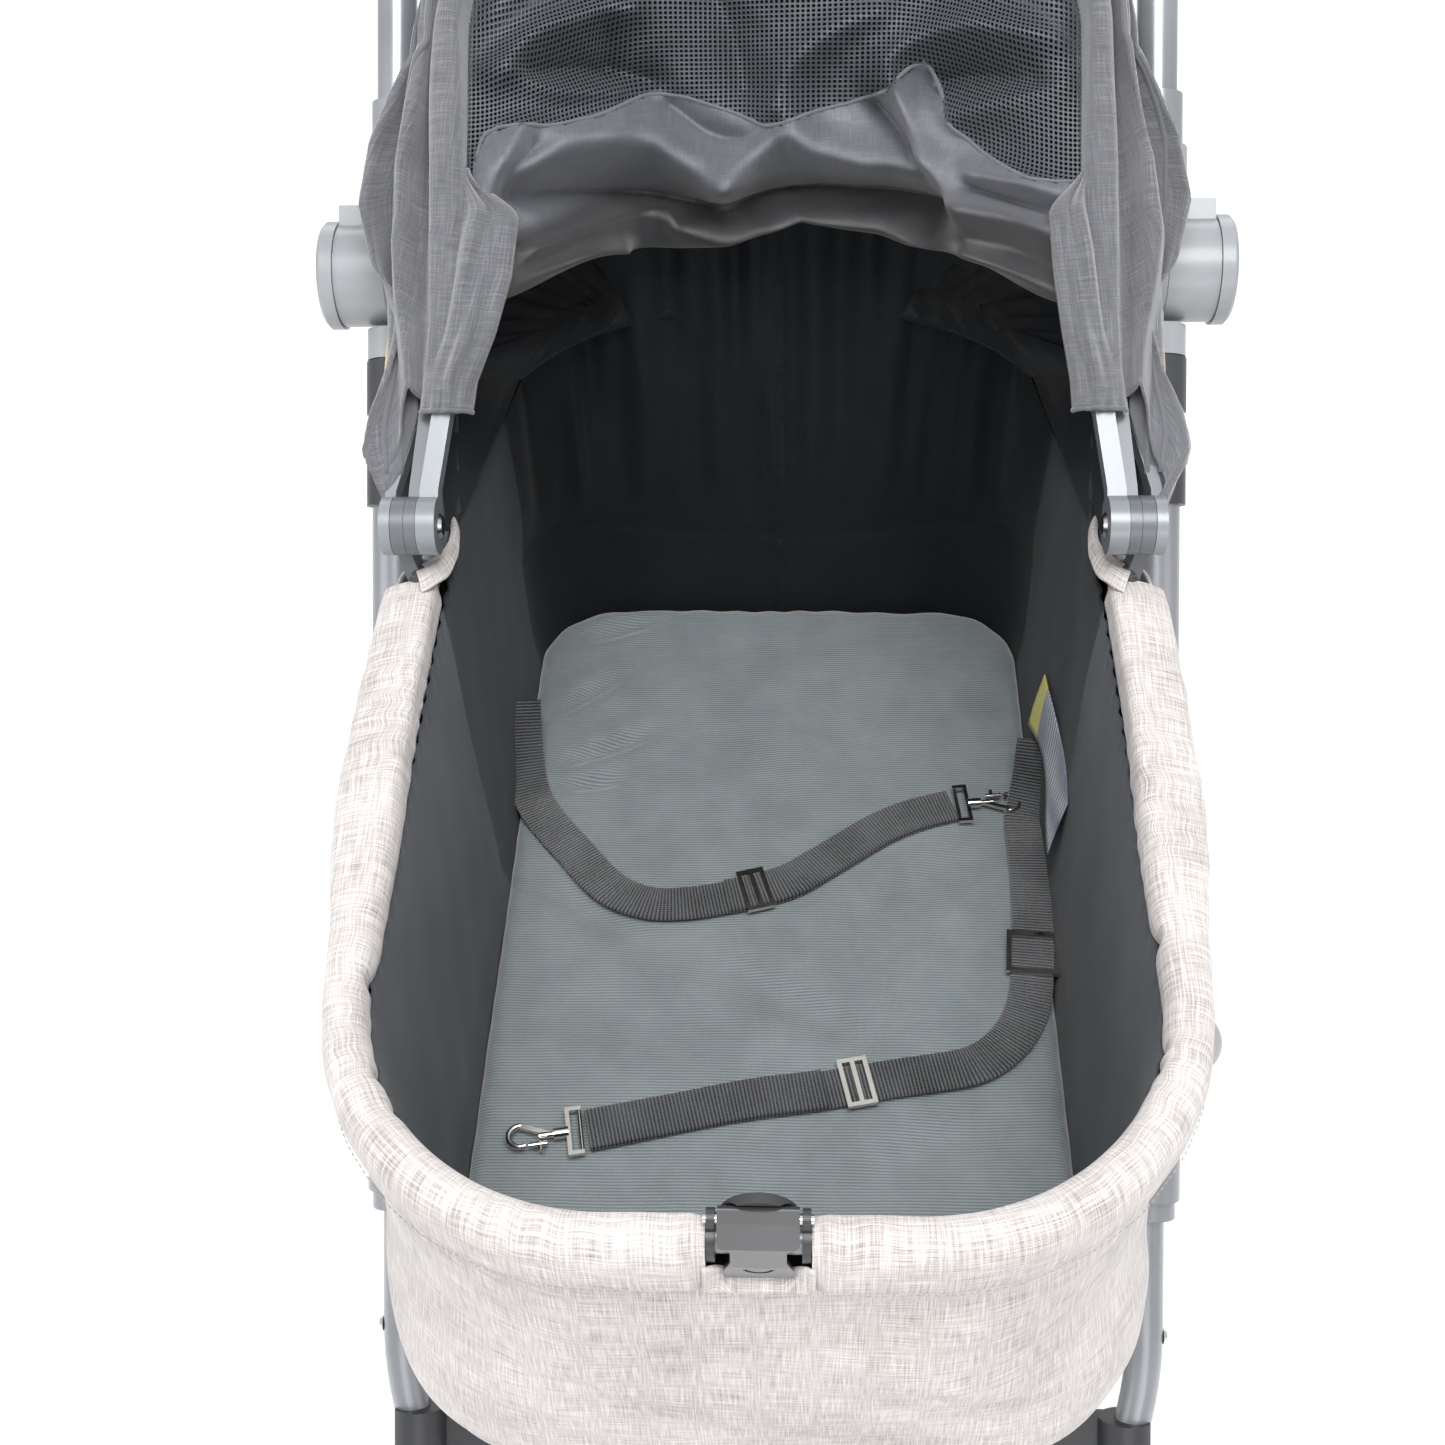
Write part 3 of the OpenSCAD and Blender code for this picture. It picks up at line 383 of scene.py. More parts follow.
# ---------- mesh helpers ----------
def make_object(name, verts, faces, mats, face_mat=None, uvs=None, smooth=True):
    data = bpy.data.meshes.new(name)
    data.from_pydata([tuple(map(float, v)) for v in verts], [], [tuple(map(int, f)) for f in faces])
    for m in mats if isinstance(mats, (list, tuple)) else [mats]:
        data.materials.append(m)
    if face_mat is not None:
        data.polygons.foreach_set("material_index", face_mat)
    if uvs is not None:
        layer = data.uv_layers.new(name="UVMap")
        loops = np.zeros(len(data.loops), np.int32)
        data.loops.foreach_get("vertex_index", loops)
        layer.data.foreach_set("uv", np.asarray(uvs, float)[loops].ravel())
    data.polygons.foreach_set("use_smooth", [smooth] * len(data.polygons))
    data.update()
    ob = bpy.data.objects.new(name, data)
    scene.collection.objects.link(ob)
    return ob


def run(p):
    """Distance along a line of points, at each point."""
    return np.concatenate([[0], np.cumsum(np.linalg.norm(np.diff(p, axis=0), axis=1))])


def sheet_normals(p):
    """Normals of a sheet given as rows of points."""
    nrm = np.cross(np.gradient(p, axis=1), np.gradient(p, axis=0))
    return nrm / np.maximum(np.linalg.norm(nrm, axis=2), 1e-9)[..., None]


def grid(name, rows, mats, closed=False, face_mat=None, flip=False, uv=None):
    """Surface through rows of points, each row the same length. UVs are distances in metres."""
    p = np.asarray(rows, float)
    m, n = p.shape[:2]
    if uv is None:
        du = np.linalg.norm(np.diff(p, axis=1), axis=2).mean(0)
        dv = np.linalg.norm(np.diff(p, axis=0), axis=2).mean(1)
        u = np.concatenate([[0], np.cumsum(du)])
        v = np.concatenate([[0], np.cumsum(dv)])
        uv = np.stack(np.meshgrid(u, v), -1)
    faces, fm = [], []
    for i in range(m - 1):
        for j in range(n if closed else n - 1):
            k = (j + 1) % n
            f = [i * n + j, i * n + k, (i + 1) * n + k, (i + 1) * n + j]
            faces.append(f[::-1] if flip else f)
            if face_mat is not None:
                fm.append(int(face_mat(i / (m - 1), j / (n - 1))))
    return make_object(name, p.reshape(-1, 3), faces, mats, fm or None, np.asarray(uv).reshape(-1, 2))


def thicken(ob, t, offset=0.0, sub=0):
    s = ob.modifiers.new("thickness", "SOLIDIFY")
    s.thickness, s.offset = t, offset
    if sub:
        d = ob.modifiers.new("smooth", "SUBSURF")
        d.levels = d.render_levels = sub


def frames_along(p):
    """Tangents and two normals along an open line, turning as little as it can."""
    p = np.asarray(p, float)
    t = np.gradient(p, axis=0)
    t /= np.linalg.norm(t, axis=1)[:, None]
    ref = np.array([0, 0, 1.0]) if abs(t[0][2]) < 0.9 else np.array([1.0, 0, 0])
    a = np.cross(t[0], ref)
    a /= np.linalg.norm(a)
    out = []
    for i in range(len(p)):
        a = a - t[i] * (a @ t[i])
        a /= np.linalg.norm(a)
        out.append((t[i], a, np.cross(a, t[i])))
    return out


def tube(name, p, r, mat, sides=12, closed=False):
    """Round tube through points; r is one radius or one for each point."""
    p = np.asarray(p, float)
    n = len(p)
    radii = np.broadcast_to(np.asarray(r, float), (n,))
    ang = np.linspace(0, 2 * math.pi, sides, endpoint=False)
    rings = [[q + radius * (math.cos(w) * a + math.sin(w) * b) for w in ang]
             for q, radius, (_, a, b) in zip(p, radii, frames_along(p))]
    faces = []
    for i in range(n if closed else n - 1):
        q = (i + 1) % n
        for j in range(sides):
            k = (j + 1) % sides
            faces.append((i * sides + j, i * sides + k, q * sides + k, q * sides + j))
    if not closed:
        faces.append(tuple(range(sides))[::-1])
        faces.append(tuple((n - 1) * sides + j for j in range(sides)))
    return make_object(name, np.asarray(rings).reshape(-1, 3), faces, mat)


def smooth_line(p, n):
    """Catmull-Rom curve through control points, at n even steps of length."""
    p = np.asarray(p, float)
    q = np.vstack([2 * p[0] - p[1], p, 2 * p[-1] - p[-2]])
    fine = []
    for a, b, c, d in zip(q, q[1:], q[2:], q[3:]):
        for t in np.linspace(0, 1, 24, endpoint=False):
            bend = (2 * a - 5 * b + 4 * c - d) * t * t + (3 * b - 3 * c + d - a) * t ** 3
            fine.append(0.5 * (2 * b + (c - a) * t + bend))
    fine = np.array(fine + [p[-1]])
    s = run(fine)
    g = np.linspace(0, s[-1], n)
    return np.stack([np.interp(g, s, fine[:, k]) for k in range(p.shape[1])], 1)


def join(name, obs):
    bpy.ops.object.select_all(action="DESELECT")
    for o in obs:
        o.select_set(True)
    bpy.context.view_layer.objects.active = obs[0]
    bpy.ops.object.join()
    obs[0].name = name
    return obs[0]


def stitches(name, p, mat, pitch=0.0034, length=0.0023, r=0.00032, sides=5):
    """A row of thread stitches lying along a line of points, each fullest in its middle."""
    p = np.asarray(p, float)
    s = run(p)
    verts, faces = [], []
    for start in np.arange(pitch * 0.3, s[-1] - length, pitch):
        places = (start, start + length / 2, start + length)
        line = np.array([[np.interp(x, s, p[:, k]) for k in range(3)] for x in places])
        base = len(verts)
        for q, (_, a, b), full in zip(line, frames_along(line), (0.45, 1.0, 0.45)):
            for j in range(sides):
                w = j * 2 * math.pi / sides
                verts.append(q + r * full * (math.cos(w) * a + math.sin(w) * b))
        for low in (base, base + sides):
            for j in range(sides):
                k = (j + 1) % sides
                faces.append((low + j, low + k, low + sides + k, low + sides + j))
        faces.append(tuple(base + j for j in range(sides))[::-1])
        faces.append(tuple(base + 2 * sides + j for j in range(sides)))
    return make_object(name, verts, faces, mat)


def ripple(a, b, seed, waves=5, low=1.0, high=4.0):
    """Smooth repeatable noise of two coordinates, about -1 to 1."""
    g = np.random.default_rng(seed)
    total = 0
    for i in range(waves):
        f = low * (high / low) ** (i / max(1, waves - 1))
        t = g.uniform(0, 2 * math.pi)
        ph = g.uniform(0, 2 * math.pi)
        total = total + np.sin(2 * math.pi * f * (a * math.cos(t) + b * math.sin(t)) + ph) / (1 + 0.5 * i)
    return total / 2.2


def smoothstep(x, a, b):
    t = np.clip((x - a) / (b - a), 0, 1)
    return t * t * (3 - 2 * t)


# ---------- cabin: outlines shared with the CAD ----------
HINGE_Y, RIM_Z, TILT = 0.019, 0.682, math.radians(2.1)
RIM_X, RIM_REACH, RIM_CORNER = 0.182, 0.369, 0.118


def on_rim(x, y, z):
    """Rim-plane coordinates to the row frame."""
    c, s = math.cos(TILT), math.sin(TILT)
    return np.array([x, HINGE_Y + y * c - z * s, RIM_Z + y * s + z * c])


def rim_z_at(y):
    return RIM_Z + (y - HINGE_Y) * math.tan(TILT)


def rim_path(s):
    """Point and outward normal on the rim's centre line, s metres from the front middle towards the right."""
    flat, arc = RIM_X - RIM_CORNER, RIM_CORNER * math.pi / 2
    k = -1 if s < 0 else 1
    s = abs(s)
    if s <= flat:
        x, y, nx, ny = s, -RIM_REACH, 0, -1
    elif s <= flat + arc:
        a = (s - flat) / RIM_CORNER
        nx, ny = math.sin(a), -math.cos(a)
        x, y = flat + RIM_CORNER * nx, -RIM_REACH + RIM_CORNER + RIM_CORNER * ny
    else:
        x, y, nx, ny = RIM_X, -RIM_REACH + RIM_CORNER + (s - flat - arc), 1, 0
    return k * x, y, k * nx, ny


RIM_HINGE = RIM_X - RIM_CORNER + RIM_CORNER * math.pi / 2 + RIM_REACH - RIM_CORNER


def loop(half_x, front, corner_f, back, corner_b, n):
    """Closed plan outline, from the back middle round by the left side; n points in even steps."""
    arc = np.linspace(0, math.pi / 2, 40)
    pts = [(0, front)]
    pts += [(half_x - corner_f + corner_f * math.sin(a),
             front + corner_f - corner_f * math.cos(a)) for a in arc]
    pts += [(half_x - corner_b + corner_b * math.cos(a),
             back - corner_b + corner_b * math.sin(a)) for a in arc]
    pts = np.array(pts + [(0, back)])
    pts = np.vstack([pts, pts[-2:0:-1] * [-1, 1], pts[:1]])
    s = run(pts)
    g = np.linspace(0, s[-1], n, endpoint=False)
    return np.roll(np.stack([np.interp(g, s, pts[:, k]) for k in (0, 1)], 1), n // 2, axis=0)


def loop_normals(p):
    t = np.roll(p, -1, 0) - np.roll(p, 1, 0)
    t /= np.linalg.norm(t, axis=1)[:, None]
    return np.stack([t[:, 1], -t[:, 0]], 1)


N_LOOP = 360
SKIRT_HALF, SKIRT_FRONT, SKIRT_FOOT = 0.1880, -0.3535, 0.4245


def side_swell(y):
    """How far the padding pushes the linen out along the sides, at y."""
    ahead, behind = smoothstep(y, -0.250, -0.120), 1 - smoothstep(y, 0.030, 0.075)
    return 0.013 * ahead * (1 - 0.08 * smoothstep(y, -0.030, 0.015)) * behind


def make_skirt():
    """Linen outside of the tub, from under the hem to the rounded bottom edge, with soft drape folds."""
    rows = []
    along = np.arange(N_LOOP) / N_LOOP
    for v in np.linspace(0, 1, 72):
        under = smoothstep(v, 0.88, 1.0)
        low = smoothstep(v, 0.30, 0.85)
        half = SKIRT_HALF + 0.003 * low - 0.003 * under
        front = SKIRT_FRONT + 0.0115 * low + 0.004 * under ** 2
        o = loop(half, front, 0.122 - 0.032 * low, 0.272 - 0.006 * v, 0.062, N_LOOP)
        out = loop_normals(o)
        x, y = o.T
        frontness = smoothstep(-y, 0.12, 0.26)
        cornerness = frontness * smoothstep(np.abs(x), 0.07, 0.15)
        # behind the hinges the cloth reaches up to the rim and curls in over it
        rise = 0.022 * smoothstep(y, 0.0, 0.022) + 0.0145 * smoothstep(y, 0.034, 0.060)
        over = 0.0105 * np.abs(out[:, 0]) * smoothstep(y, 0.030, 0.055) * (1 - smoothstep(v, 0.0, 0.030))
        z = (rim_z_at(y) - 0.030 + rise) * (1 - v) + SKIRT_FOOT * v
        fold = 0.0034 * ripple(along * 7 + v * 0.9, v * 0.7, 3, 5, 0.8, 2.2)
        small = 0.0022 * ripple(along * 13 - v * 1.8, v * 0.9, 8, 4, 0.8, 2.0)
        fold += small * smoothstep(v, 0.1, 0.5)
        droop = 0.0026 * np.exp(-((z - 0.628 - 0.012 * np.cos(along * 40)) / 0.012) ** 2) * frontness
        amp = (0.35 + 0.65 * frontness) * smoothstep(v, 0.0, 0.2)
        recess = 0.0045 * cornerness * smoothstep(v, 0.0, 0.18) * (1 - low)
        recess += 0.0025 * frontness * smoothstep(v, 0, 0.1) * (1 - low)
        swell = side_swell(y) * (1 - smoothstep(v, 0.0, 0.42))
        o = o + out * (fold * amp - droop - recess + swell - over)[:, None]
        rows.append(np.column_stack([o, z + 0.004 * cornerness * under]))
    # the bottom edge turns under and closes towards the middle
    for inset, drop in ((0.004, 0.0005), (0.012, 0.0005), (0.04, 0), (0.09, 0), (0.14, 0), (0.178, 0)):
        corners = max(0.089 - inset, 0.006), max(0.062 - inset, 0.006)
        o = loop(0.1865 - inset, -0.3370 + inset, corners[0], 0.264 - inset, corners[1], N_LOOP)
        rows.append(np.column_stack([o, np.full(N_LOOP, SKIRT_FOOT - drop)]))
    ob = grid("tub_skirt", rows, M["linen"], closed=True)
    thicken(ob, 0.0016, -1.0)
    return ob


skirt = make_skirt()
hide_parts("tub_shell")
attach(skirt, "chassis")

# The hem's band ends at the latch and at the hinges, and is pinched in places: distance, depth and width
HEM_GAP, HEM_END = 0.0208, RIM_HINGE - 0.0060
NOTCHES = {
    -1: ((0.250, 0.0034, 0.0050), (0.196, 0.0034, 0.0035), (0.174, 0.0026, 0.0040)),
    1: ((0.276, 0.0034, 0.0050), (0.216, 0.0034, 0.0035), (0.205, 0.0026, 0.0040)),
}


def hem_puff(s, side):
    return 0.0010 * ripple(s * 14.0, side * 0.7, 21, 4, 0.8, 3.0)


def hem_section(s, side):
    """Closed section of the hem at rim distance s, as (outward, up) offsets from the rim's centre line."""
    puff = hem_puff(s, side)
    pucker = 0.0011 * math.sin(s * 2 * math.pi / 0.017 + 1.7 * math.sin(s * 60))
    pucker *= 0.5 + 0.5 * math.sin(s * 37 + side)
    drop = 0.0305 + 0.0012 * math.sin(s * 55 + side)
    y = rim_path(s)[1] + HINGE_Y
    wide = side_swell(y)
    out = 0.0095 + puff + wide
    slim = 0.0030 * smoothstep(y, -0.170, -0.060)
    notch = sum(depth * math.exp(-((s - at) / width) ** 2) for at, depth, width in NOTCHES[side])
    inner = [(-0.0082 + 0.4 * pucker + 0.7 * slim + notch, -0.0125 + pucker),
             (-0.0100 + 0.3 * pucker + slim + notch, -0.0065 + 0.5 * notch),
             (-0.0096 + slim + 0.7 * notch, 0.0)]
    over = [(-0.0070 + 0.3 * slim, 0.0062 + puff), (-0.0022, 0.0093 + puff),
            (0.0032 + 0.3 * wide, 0.0094 + puff - 0.1 * wide),
            (0.0078 + 0.75 * wide, 0.0066 + puff - 0.15 * wide)]
    outer = [(out + 0.0010, 0.0006), (out + 0.0020, -0.0075), (out + 0.0019, -0.0165),
             (out + 0.0006, -0.0250)]
    back = [(out - 0.0020, -drop), (out - 0.0046, -drop - 0.0002), (out - 0.0046, -0.0200),
            (0.0066 + 0.6 * wide, -0.0090), (-0.0030, -0.0092), (-0.0066, -0.0130)]
    return inner + over + outer + back


def make_hem():
    """Padded band rolled over the rim tube, from inside the lining over the top and down the outside."""
    parts = []
    places = np.concatenate([np.linspace(HEM_GAP, 0.0250, 4), np.linspace(0.0270, HEM_END, 380)])
    for side in (1, -1):
        rows, uvs = [], []
        for s in places:
            x, y, nx, ny = rim_path(s * side)
            section = hem_section(s, side)
            pts = smooth_line(section + section[:1], 45)[:-1]
            size = 1 - 0.10 * (1 - smoothstep(s, HEM_GAP, 0.028))
            rows.append([on_rim(x + nx * o * size, y + ny * o * size, u * size) for o, u in pts])
            uvs.append([(s * side, q) for q in np.linspace(0, 0.11, len(pts))])
        parts.append(grid("hem", rows, M["linen"], closed=True, uv=uvs, flip=side > 0))
        n = len(rows[0])
        for ring in (rows[0], rows[-1]):
            verts = np.vstack([ring, np.mean(ring, axis=0)])
            faces = [(j, (j + 1) % n, n) for j in range(n)]
            parts.append(make_object("hem_cap", verts, faces, M["linen"], uvs=verts[:, [0, 2]]))
    return join("hem_band", parts)


hem = make_hem()
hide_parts("rim_hem")
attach(hem, "chassis")


def make_apron():
    """Linen under the latch, between the two ends of the hem band."""
    rows = []
    for v in np.linspace(0, 1, 13):
        row = []
        for x in np.linspace(-0.0225, 0.0225, 41):
            top = 0.6515 + 0.0125 * smoothstep(abs(x), 0.0095, 0.0195)
            z = top * (1 - v) + 0.6370 * v
            side = smoothstep(abs(x), 0.011, 0.0215)
            tuck = smoothstep(z, 0.6365, 0.6450)
            front = 0.0058 * side + 0.0055 * (1 - side) * smoothstep(0.6505 - z, 0.0, 0.006)
            row.append((x, -0.3530 - 0.0018 * tuck - front * tuck, z))
        rows.append(row)
    ob = grid("latch_apron", rows, M["linen"])
    thicken(ob, 0.0014, 0.0)
    return ob


apron = make_apron()
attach(apron, "chassis")

# Stitches along the hem, on its outside
for side, name in ((1, "hem_stitch_right"), (-1, "hem_stitch_left")):
    line = []
    for s in np.linspace(0.024, RIM_HINGE - 0.024, 300):
        x, y, nx, ny = rim_path(s * side)
        o = 0.0118 + side_swell(y + HINGE_Y) + hem_puff(s, side)
        line.append(on_rim(x + nx * o, y + ny * o, -0.0235))
    st = stitches(name, line, M["thread_light"])
    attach(st, "chassis")

N_LINING, LINING_FOOT = 420, 0.4335


def lining_zone(v, u):
    """Material across the lining: the lit cloth at the front, then a copy with painted shade on the sides,
    then the darkest copy, with deeper painted shade, at the back.
    """
    far = abs(u - 0.5)
    return 2 if far > 0.385 else 1 if far > 0.27 else 0


def make_lining():
    """Dark inside of the tub, from the hem's inner seam to the pad, gathered at the back."""
    rows = []
    along = np.arange(N_LINING) / N_LINING
    for v in np.linspace(0, 1, 70):
        foot = smoothstep(v, 0.86, 1.0)
        half = 0.1738 * (1 - v) + 0.1690 * v - 0.0012 * math.sin(math.pi * v) - 0.0040 * foot
        o = loop(half, -0.3400 + 0.004 * v + 0.0045 * foot, 0.112, 0.2660 - 0.004 * v, 0.060, N_LINING)
        out = loop_normals(o)
        x, y = o.T
        backness = smoothstep(y, 0.17, 0.25)
        z = (rim_z_at(y) - 0.0085 + 0.088 * smoothstep(y, 0.050, 0.150)) * (1 - v) + LINING_FOOT * v
        gathers = 0.0048 * np.sin(x * 2 * math.pi / 0.040 + 1.6 * np.sin(x * 33) + 9 * z) * backness
        gathers += 0.0026 * np.sin(x * 2 * math.pi / 0.022 + 1.1 * np.sin(x * 51 + 1) - 14 * z) * backness
        gathers = (gathers - 0.0055 * backness) * smoothstep(z, 0.512, 0.58)
        gathers *= 0.75 + 0.3 * ripple(x * 14, z * 5, 5, 3)
        soft = 0.0013 * ripple(along * 12, v * 1.3, 11, 5, 0.8, 3.0) * smoothstep(v, 0.02, 0.2)
        seam_z = 0.513 + 0.020 * (np.abs(x) / 0.16) ** 2
        seam = 0.0022 * np.exp(-((z - seam_z) / 0.0022) ** 2) * backness
        pleat = 0.0010 * np.sin(along * 2 * math.pi * 130) * (1 - smoothstep(v, 0.0, 0.07))
        rows.append(np.column_stack([o + out * (gathers + soft + seam + pleat)[:, None], z]))
    # The lining cloth, its copy with painted shade for the sides, and its darkest copy with deeper painted
    # shade for the back.
    mats = [M["lining"], M["shade"], M["dark"]]
    ob = grid("tub_lining_cloth", rows, mats, closed=True, flip=True, face_mat=lining_zone)
    thicken(ob, 0.0012, 0.0)
    # Painted shade: the lining cloth darkens down the wall from the hem towards the pad.
    paint_shade_band(M["lining"], 0.01, 0.17, 0.42)
    return ob


lining = make_lining()
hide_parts("tub_lining")
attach(lining, "chassis")


# ---------- floor pad ----------
PAD_TOP, PAD_LOW = 0.450, 0.4328
PAD_HALF, PAD_FRONT, PAD_BACK = 0.1538, -0.3195, 0.2475
PAD_CORNER_F, PAD_CORNER_B = 0.092, 0.041
WRINKLES = [  # one end, the other end, depth, width
    ((-0.135, 0.225), (-0.085, 0.245), 0.0036, 0.0065), ((-0.150, 0.150), (-0.105, 0.190), 0.0036, 0.0060),
    ((-0.140, 0.105), (-0.080, 0.135), 0.0040, 0.0060), ((-0.135, 0.085), (-0.100, 0.092), 0.0036, 0.0055),
    ((-0.060, 0.150), (0.020, 0.060), 0.0016, 0.0160), ((0.020, 0.190), (0.060, 0.080), 0.0014, 0.0180),
    ((-0.050, -0.050), (0.060, -0.110), 0.0018, 0.0110), ((-0.150, 0.010), (-0.070, -0.045), 0.0022, 0.0100),
    ((-0.140, -0.080), (-0.030, -0.110), 0.0012, 0.0150), ((0.060, -0.020), (0.140, 0.040), 0.0016, 0.0140),
    ((0.040, -0.200), (0.130, -0.160), 0.0014, 0.0140), ((-0.100, -0.230), (0.010, -0.260), 0.0014, 0.0150),
]


def pad_height(x, y):
    """Height of the pad's top: soft dimples and long shallow wrinkles, never above PAD_TOP."""
    dimples = ripple(x * 6, y * 6, 31, 5, 0.7, 2.0) * 0.0019
    folds = 0.0
    for (ax, ay), (bx, by), depth, width in WRINKLES:
        ex, ey = bx - ax, by - ay
        q = np.clip(((x - ax) * ex + (y - ay) * ey) / (ex * ex + ey * ey), 0, 1)
        far = np.hypot(x - ax - q * ex, y - ay - q * ey)
        groove = np.exp(-(far / width) ** 2) - 0.35 * np.exp(-((far - 1.9 * width) / width) ** 2)
        folds = folds + 1.7 * depth * np.sin(math.pi * (0.08 + 0.84 * q)) * groove
    return np.minimum(PAD_TOP, PAD_TOP - 0.0018 + dimples - folds)


def make_pad():
    """Cushion of rounded plan: crowned top, rounded piped sides, flat underside."""
    profile = [(0.0, 0.0), (0.004, -0.0006), (0.0075, -0.0028), (0.0098, -0.0062), (0.0104, -0.0088),
               (0.0098, -0.0116), (0.0076, -0.0148), (0.004, -0.0168), (0.0, -0.0172)]
    n = 420
    along = np.arange(n) / n
    rows = []

    def plan(t, half, least=0.0):
        corners = max(0.0006, PAD_CORNER_F * t), max(0.0006, PAD_CORNER_B * t)
        front, back = PAD_FRONT * t - least * (1 - t), PAD_BACK * t + least * (1 - t)
        return loop(max(half, 0.003), front, corners[0], back, corners[1], n)

    for t in np.concatenate([[0.0], np.linspace(0.02, 0.985, 54)]):
        o = plan(t, PAD_HALF * t + 0.0006, 0.002)
        rows.append(np.column_stack([o, pad_height(*o.T)]))
    for out, dz in profile:
        o = loop(PAD_HALF + out, PAD_FRONT - out, PAD_CORNER_F + out, PAD_BACK + out, PAD_CORNER_B + out, n)
        pucker = 0.0006 * np.sin(along * 2 * math.pi * 60 + 2 * np.sin(along * 50)) * min(1, out / 0.006)
        z = pad_height(*o.T) + dz + pucker if dz > -0.01 else PAD_TOP + dz + pucker * 0.3
        rows.append(np.column_stack([o, z]))
    for t in (0.8, 0.4, 0.02):
        rows.append(np.column_stack([plan(t, PAD_HALF * t), np.full(n, PAD_LOW)]))
    return grid("floor_pad", rows, M["pad"], closed=True)


pad = make_pad()
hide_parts("pad")
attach(pad, "chassis")

# ---------- leashes ----------
# Routes in millimetres: x and y on the pad, then x, y and z from the wall down to it
LEFT_ROUTE = [(-157, 76), (-149, 60), (-137, 43), (-124, 27), (-110, 9), (-95, -5), (-75, -13), (-54, -13),
              (-32, -9), (-11, -4), (10, 4), (29, 18), (47, 32), (63, 44), (80, 54), (96, 61), (112, 66)]
RIGHT_ROUTE = [(156.5, 56), (156.8, 38), (156.8, 20), (156.5, 0), (155.5, -20), (154, -40), (152, -60),
               (149, -80), (142, -99), (130, -115), (114, -126), (94, -131), (72, -135), (48, -140),
               (24, -145), (0, -149), (-25, -154), (-50, -160), (-75, -166), (-100, -172)]
LEFT_UP = [(-165.5, 128, 484), (-164.5, 112, 468), (-162, 95, 457)]
RIGHT_UP = [(165.5, 96, 482), (163.5, 84, 466), (160, 70, 456)]
ON_PAD = 451.6
WEB_HALF, WEB_THICK = 0.0125, 0.0009
# Section of the webbing, across and up, in units of its half width and half thickness
WEB_SECTION = [(-1, 0.0), (-0.97, 0.8), (-0.86, 1.0), (-0.5, 1.0), (0, 1.0), (0.5, 1.0), (0.86, 1.0),
               (0.97, 0.8), (1, 0.0), (0.97, -0.8), (0.86, -1.0), (0, -1.0), (-0.86, -1.0), (-0.97, -0.8)]


def leash(name, up, route, double_from, node):
    """Webbing ribbon on the pad, doubled between its slider, double_from metres along, and its hook."""
    ctrl = [np.array(q) * MM for q in up] + [np.array((x, y, ON_PAD)) * MM for x, y in route]
    line = smooth_line(np.array(ctrl), 150)
    s = run(line)
    total = s[-1]

    def at(q):
        return np.array([np.interp(q, s, line[:, k]) for k in range(3)])

    def ribbon(start, lift, tag):
        rows, uvs = [], []
        for q in np.linspace(start, total, int((total - start) / 0.003) + 2):
            ahead = at(min(q + 0.004, total)) - at(max(q - 0.004, 0))
            ahead /= np.linalg.norm(ahead)
            across = np.cross(np.array([0, 0, 1.0]), ahead)
            across /= np.linalg.norm(across)
            over = np.cross(ahead, across)
            c = at(q) + over * lift(q)
            rows.append([c + across * o * WEB_HALF + over * h * WEB_THICK for o, h in WEB_SECTION])
            uvs.append([(q, o * WEB_HALF + (0.03 if h < 0 else 0)) for o, h in WEB_SECTION])
        parts = [grid(tag, rows, M["web"], closed=True, uv=uvs)]
        for ring in (np.array(rows[0]), np.array(rows[-1])):
            parts.append(make_object("cap", ring, [tuple(range(len(ring)))], M["web"], uvs=ring[:, :2]))
        return parts

    parts = ribbon(0, lambda q: 0.0, name)
    parts += ribbon(double_from, lambda q: 0.0021 + 0.0006 * math.sin((q - double_from) * 40) ** 2,
                    name + "_top")
    ob = join(name, parts)
    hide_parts(node)
    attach(ob, "chassis")


leash("leash_left", LEFT_UP, LEFT_ROUTE, 0.235, "leash_left_strap")
leash("leash_right", RIGHT_UP, RIGHT_ROUTE, 0.335, "leash_right_strap")

# ---------- hood ----------
# Bow planes turn about the hinge line: w runs out from that line, and theta is the angle from the front
HINGE_Z = 0.722
REACH, CORNER = 0.369, 0.115
SIDE, TOP = 0.5, 0.8  # shares of a rail's half where its side ends and where its flat top starts
NU = 241


def bow_point(theta, x, w):
    a = math.radians(theta)
    return np.array([x, HINGE_Y - w * math.cos(a), HINGE_Z + w * math.sin(a)])


def u_line(theta, half, low, off_side, off_top):
    """U-shaped rail in a bow's plane, from its low left end over the top to its low right end.
    It stands out of the bow by off_side, a function of w, along the sides and by off_top over the top."""
    pts = []
    for u in np.linspace(-1, 1, NU):
        f = 1 - abs(u)
        if f <= SIDE:
            w = low + (REACH - CORNER - low) * f / SIDE
            x = half + off_side(w)
        elif f > TOP:
            x, w = (half - CORNER) * (1 - (f - TOP) / (1 - TOP)), REACH + off_top
        else:
            turn = (f - SIDE) / (TOP - SIDE)
            top_share = smoothstep(turn, 0, 1)
            o = off_side(REACH - CORNER) * (1 - top_share) + off_top * top_share
            x = half - CORNER + (CORNER + o) * math.cos(turn * math.pi / 2)
            w = REACH - CORNER + (CORNER + o) * math.sin(turn * math.pi / 2)
        pts.append(bow_point(theta, math.copysign(x, u), w))
    return np.array(pts)


def table_fn(pairs):
    xs, ys = zip(*pairs)
    return lambda w: float(np.interp(w, xs, ys))


def const(offset):
    return lambda w: offset


def pinch(full, near):
    """Offset that is near at the hinge, full half way up, and less again towards the corner."""
    gap = full - near
    return table_fn([(0.060, near), (0.090, near + 0.25 * gap), (0.120, near + 0.7 * gap), (0.150, full),
                     (0.190, full * 0.9), (0.254, full * 0.42)])


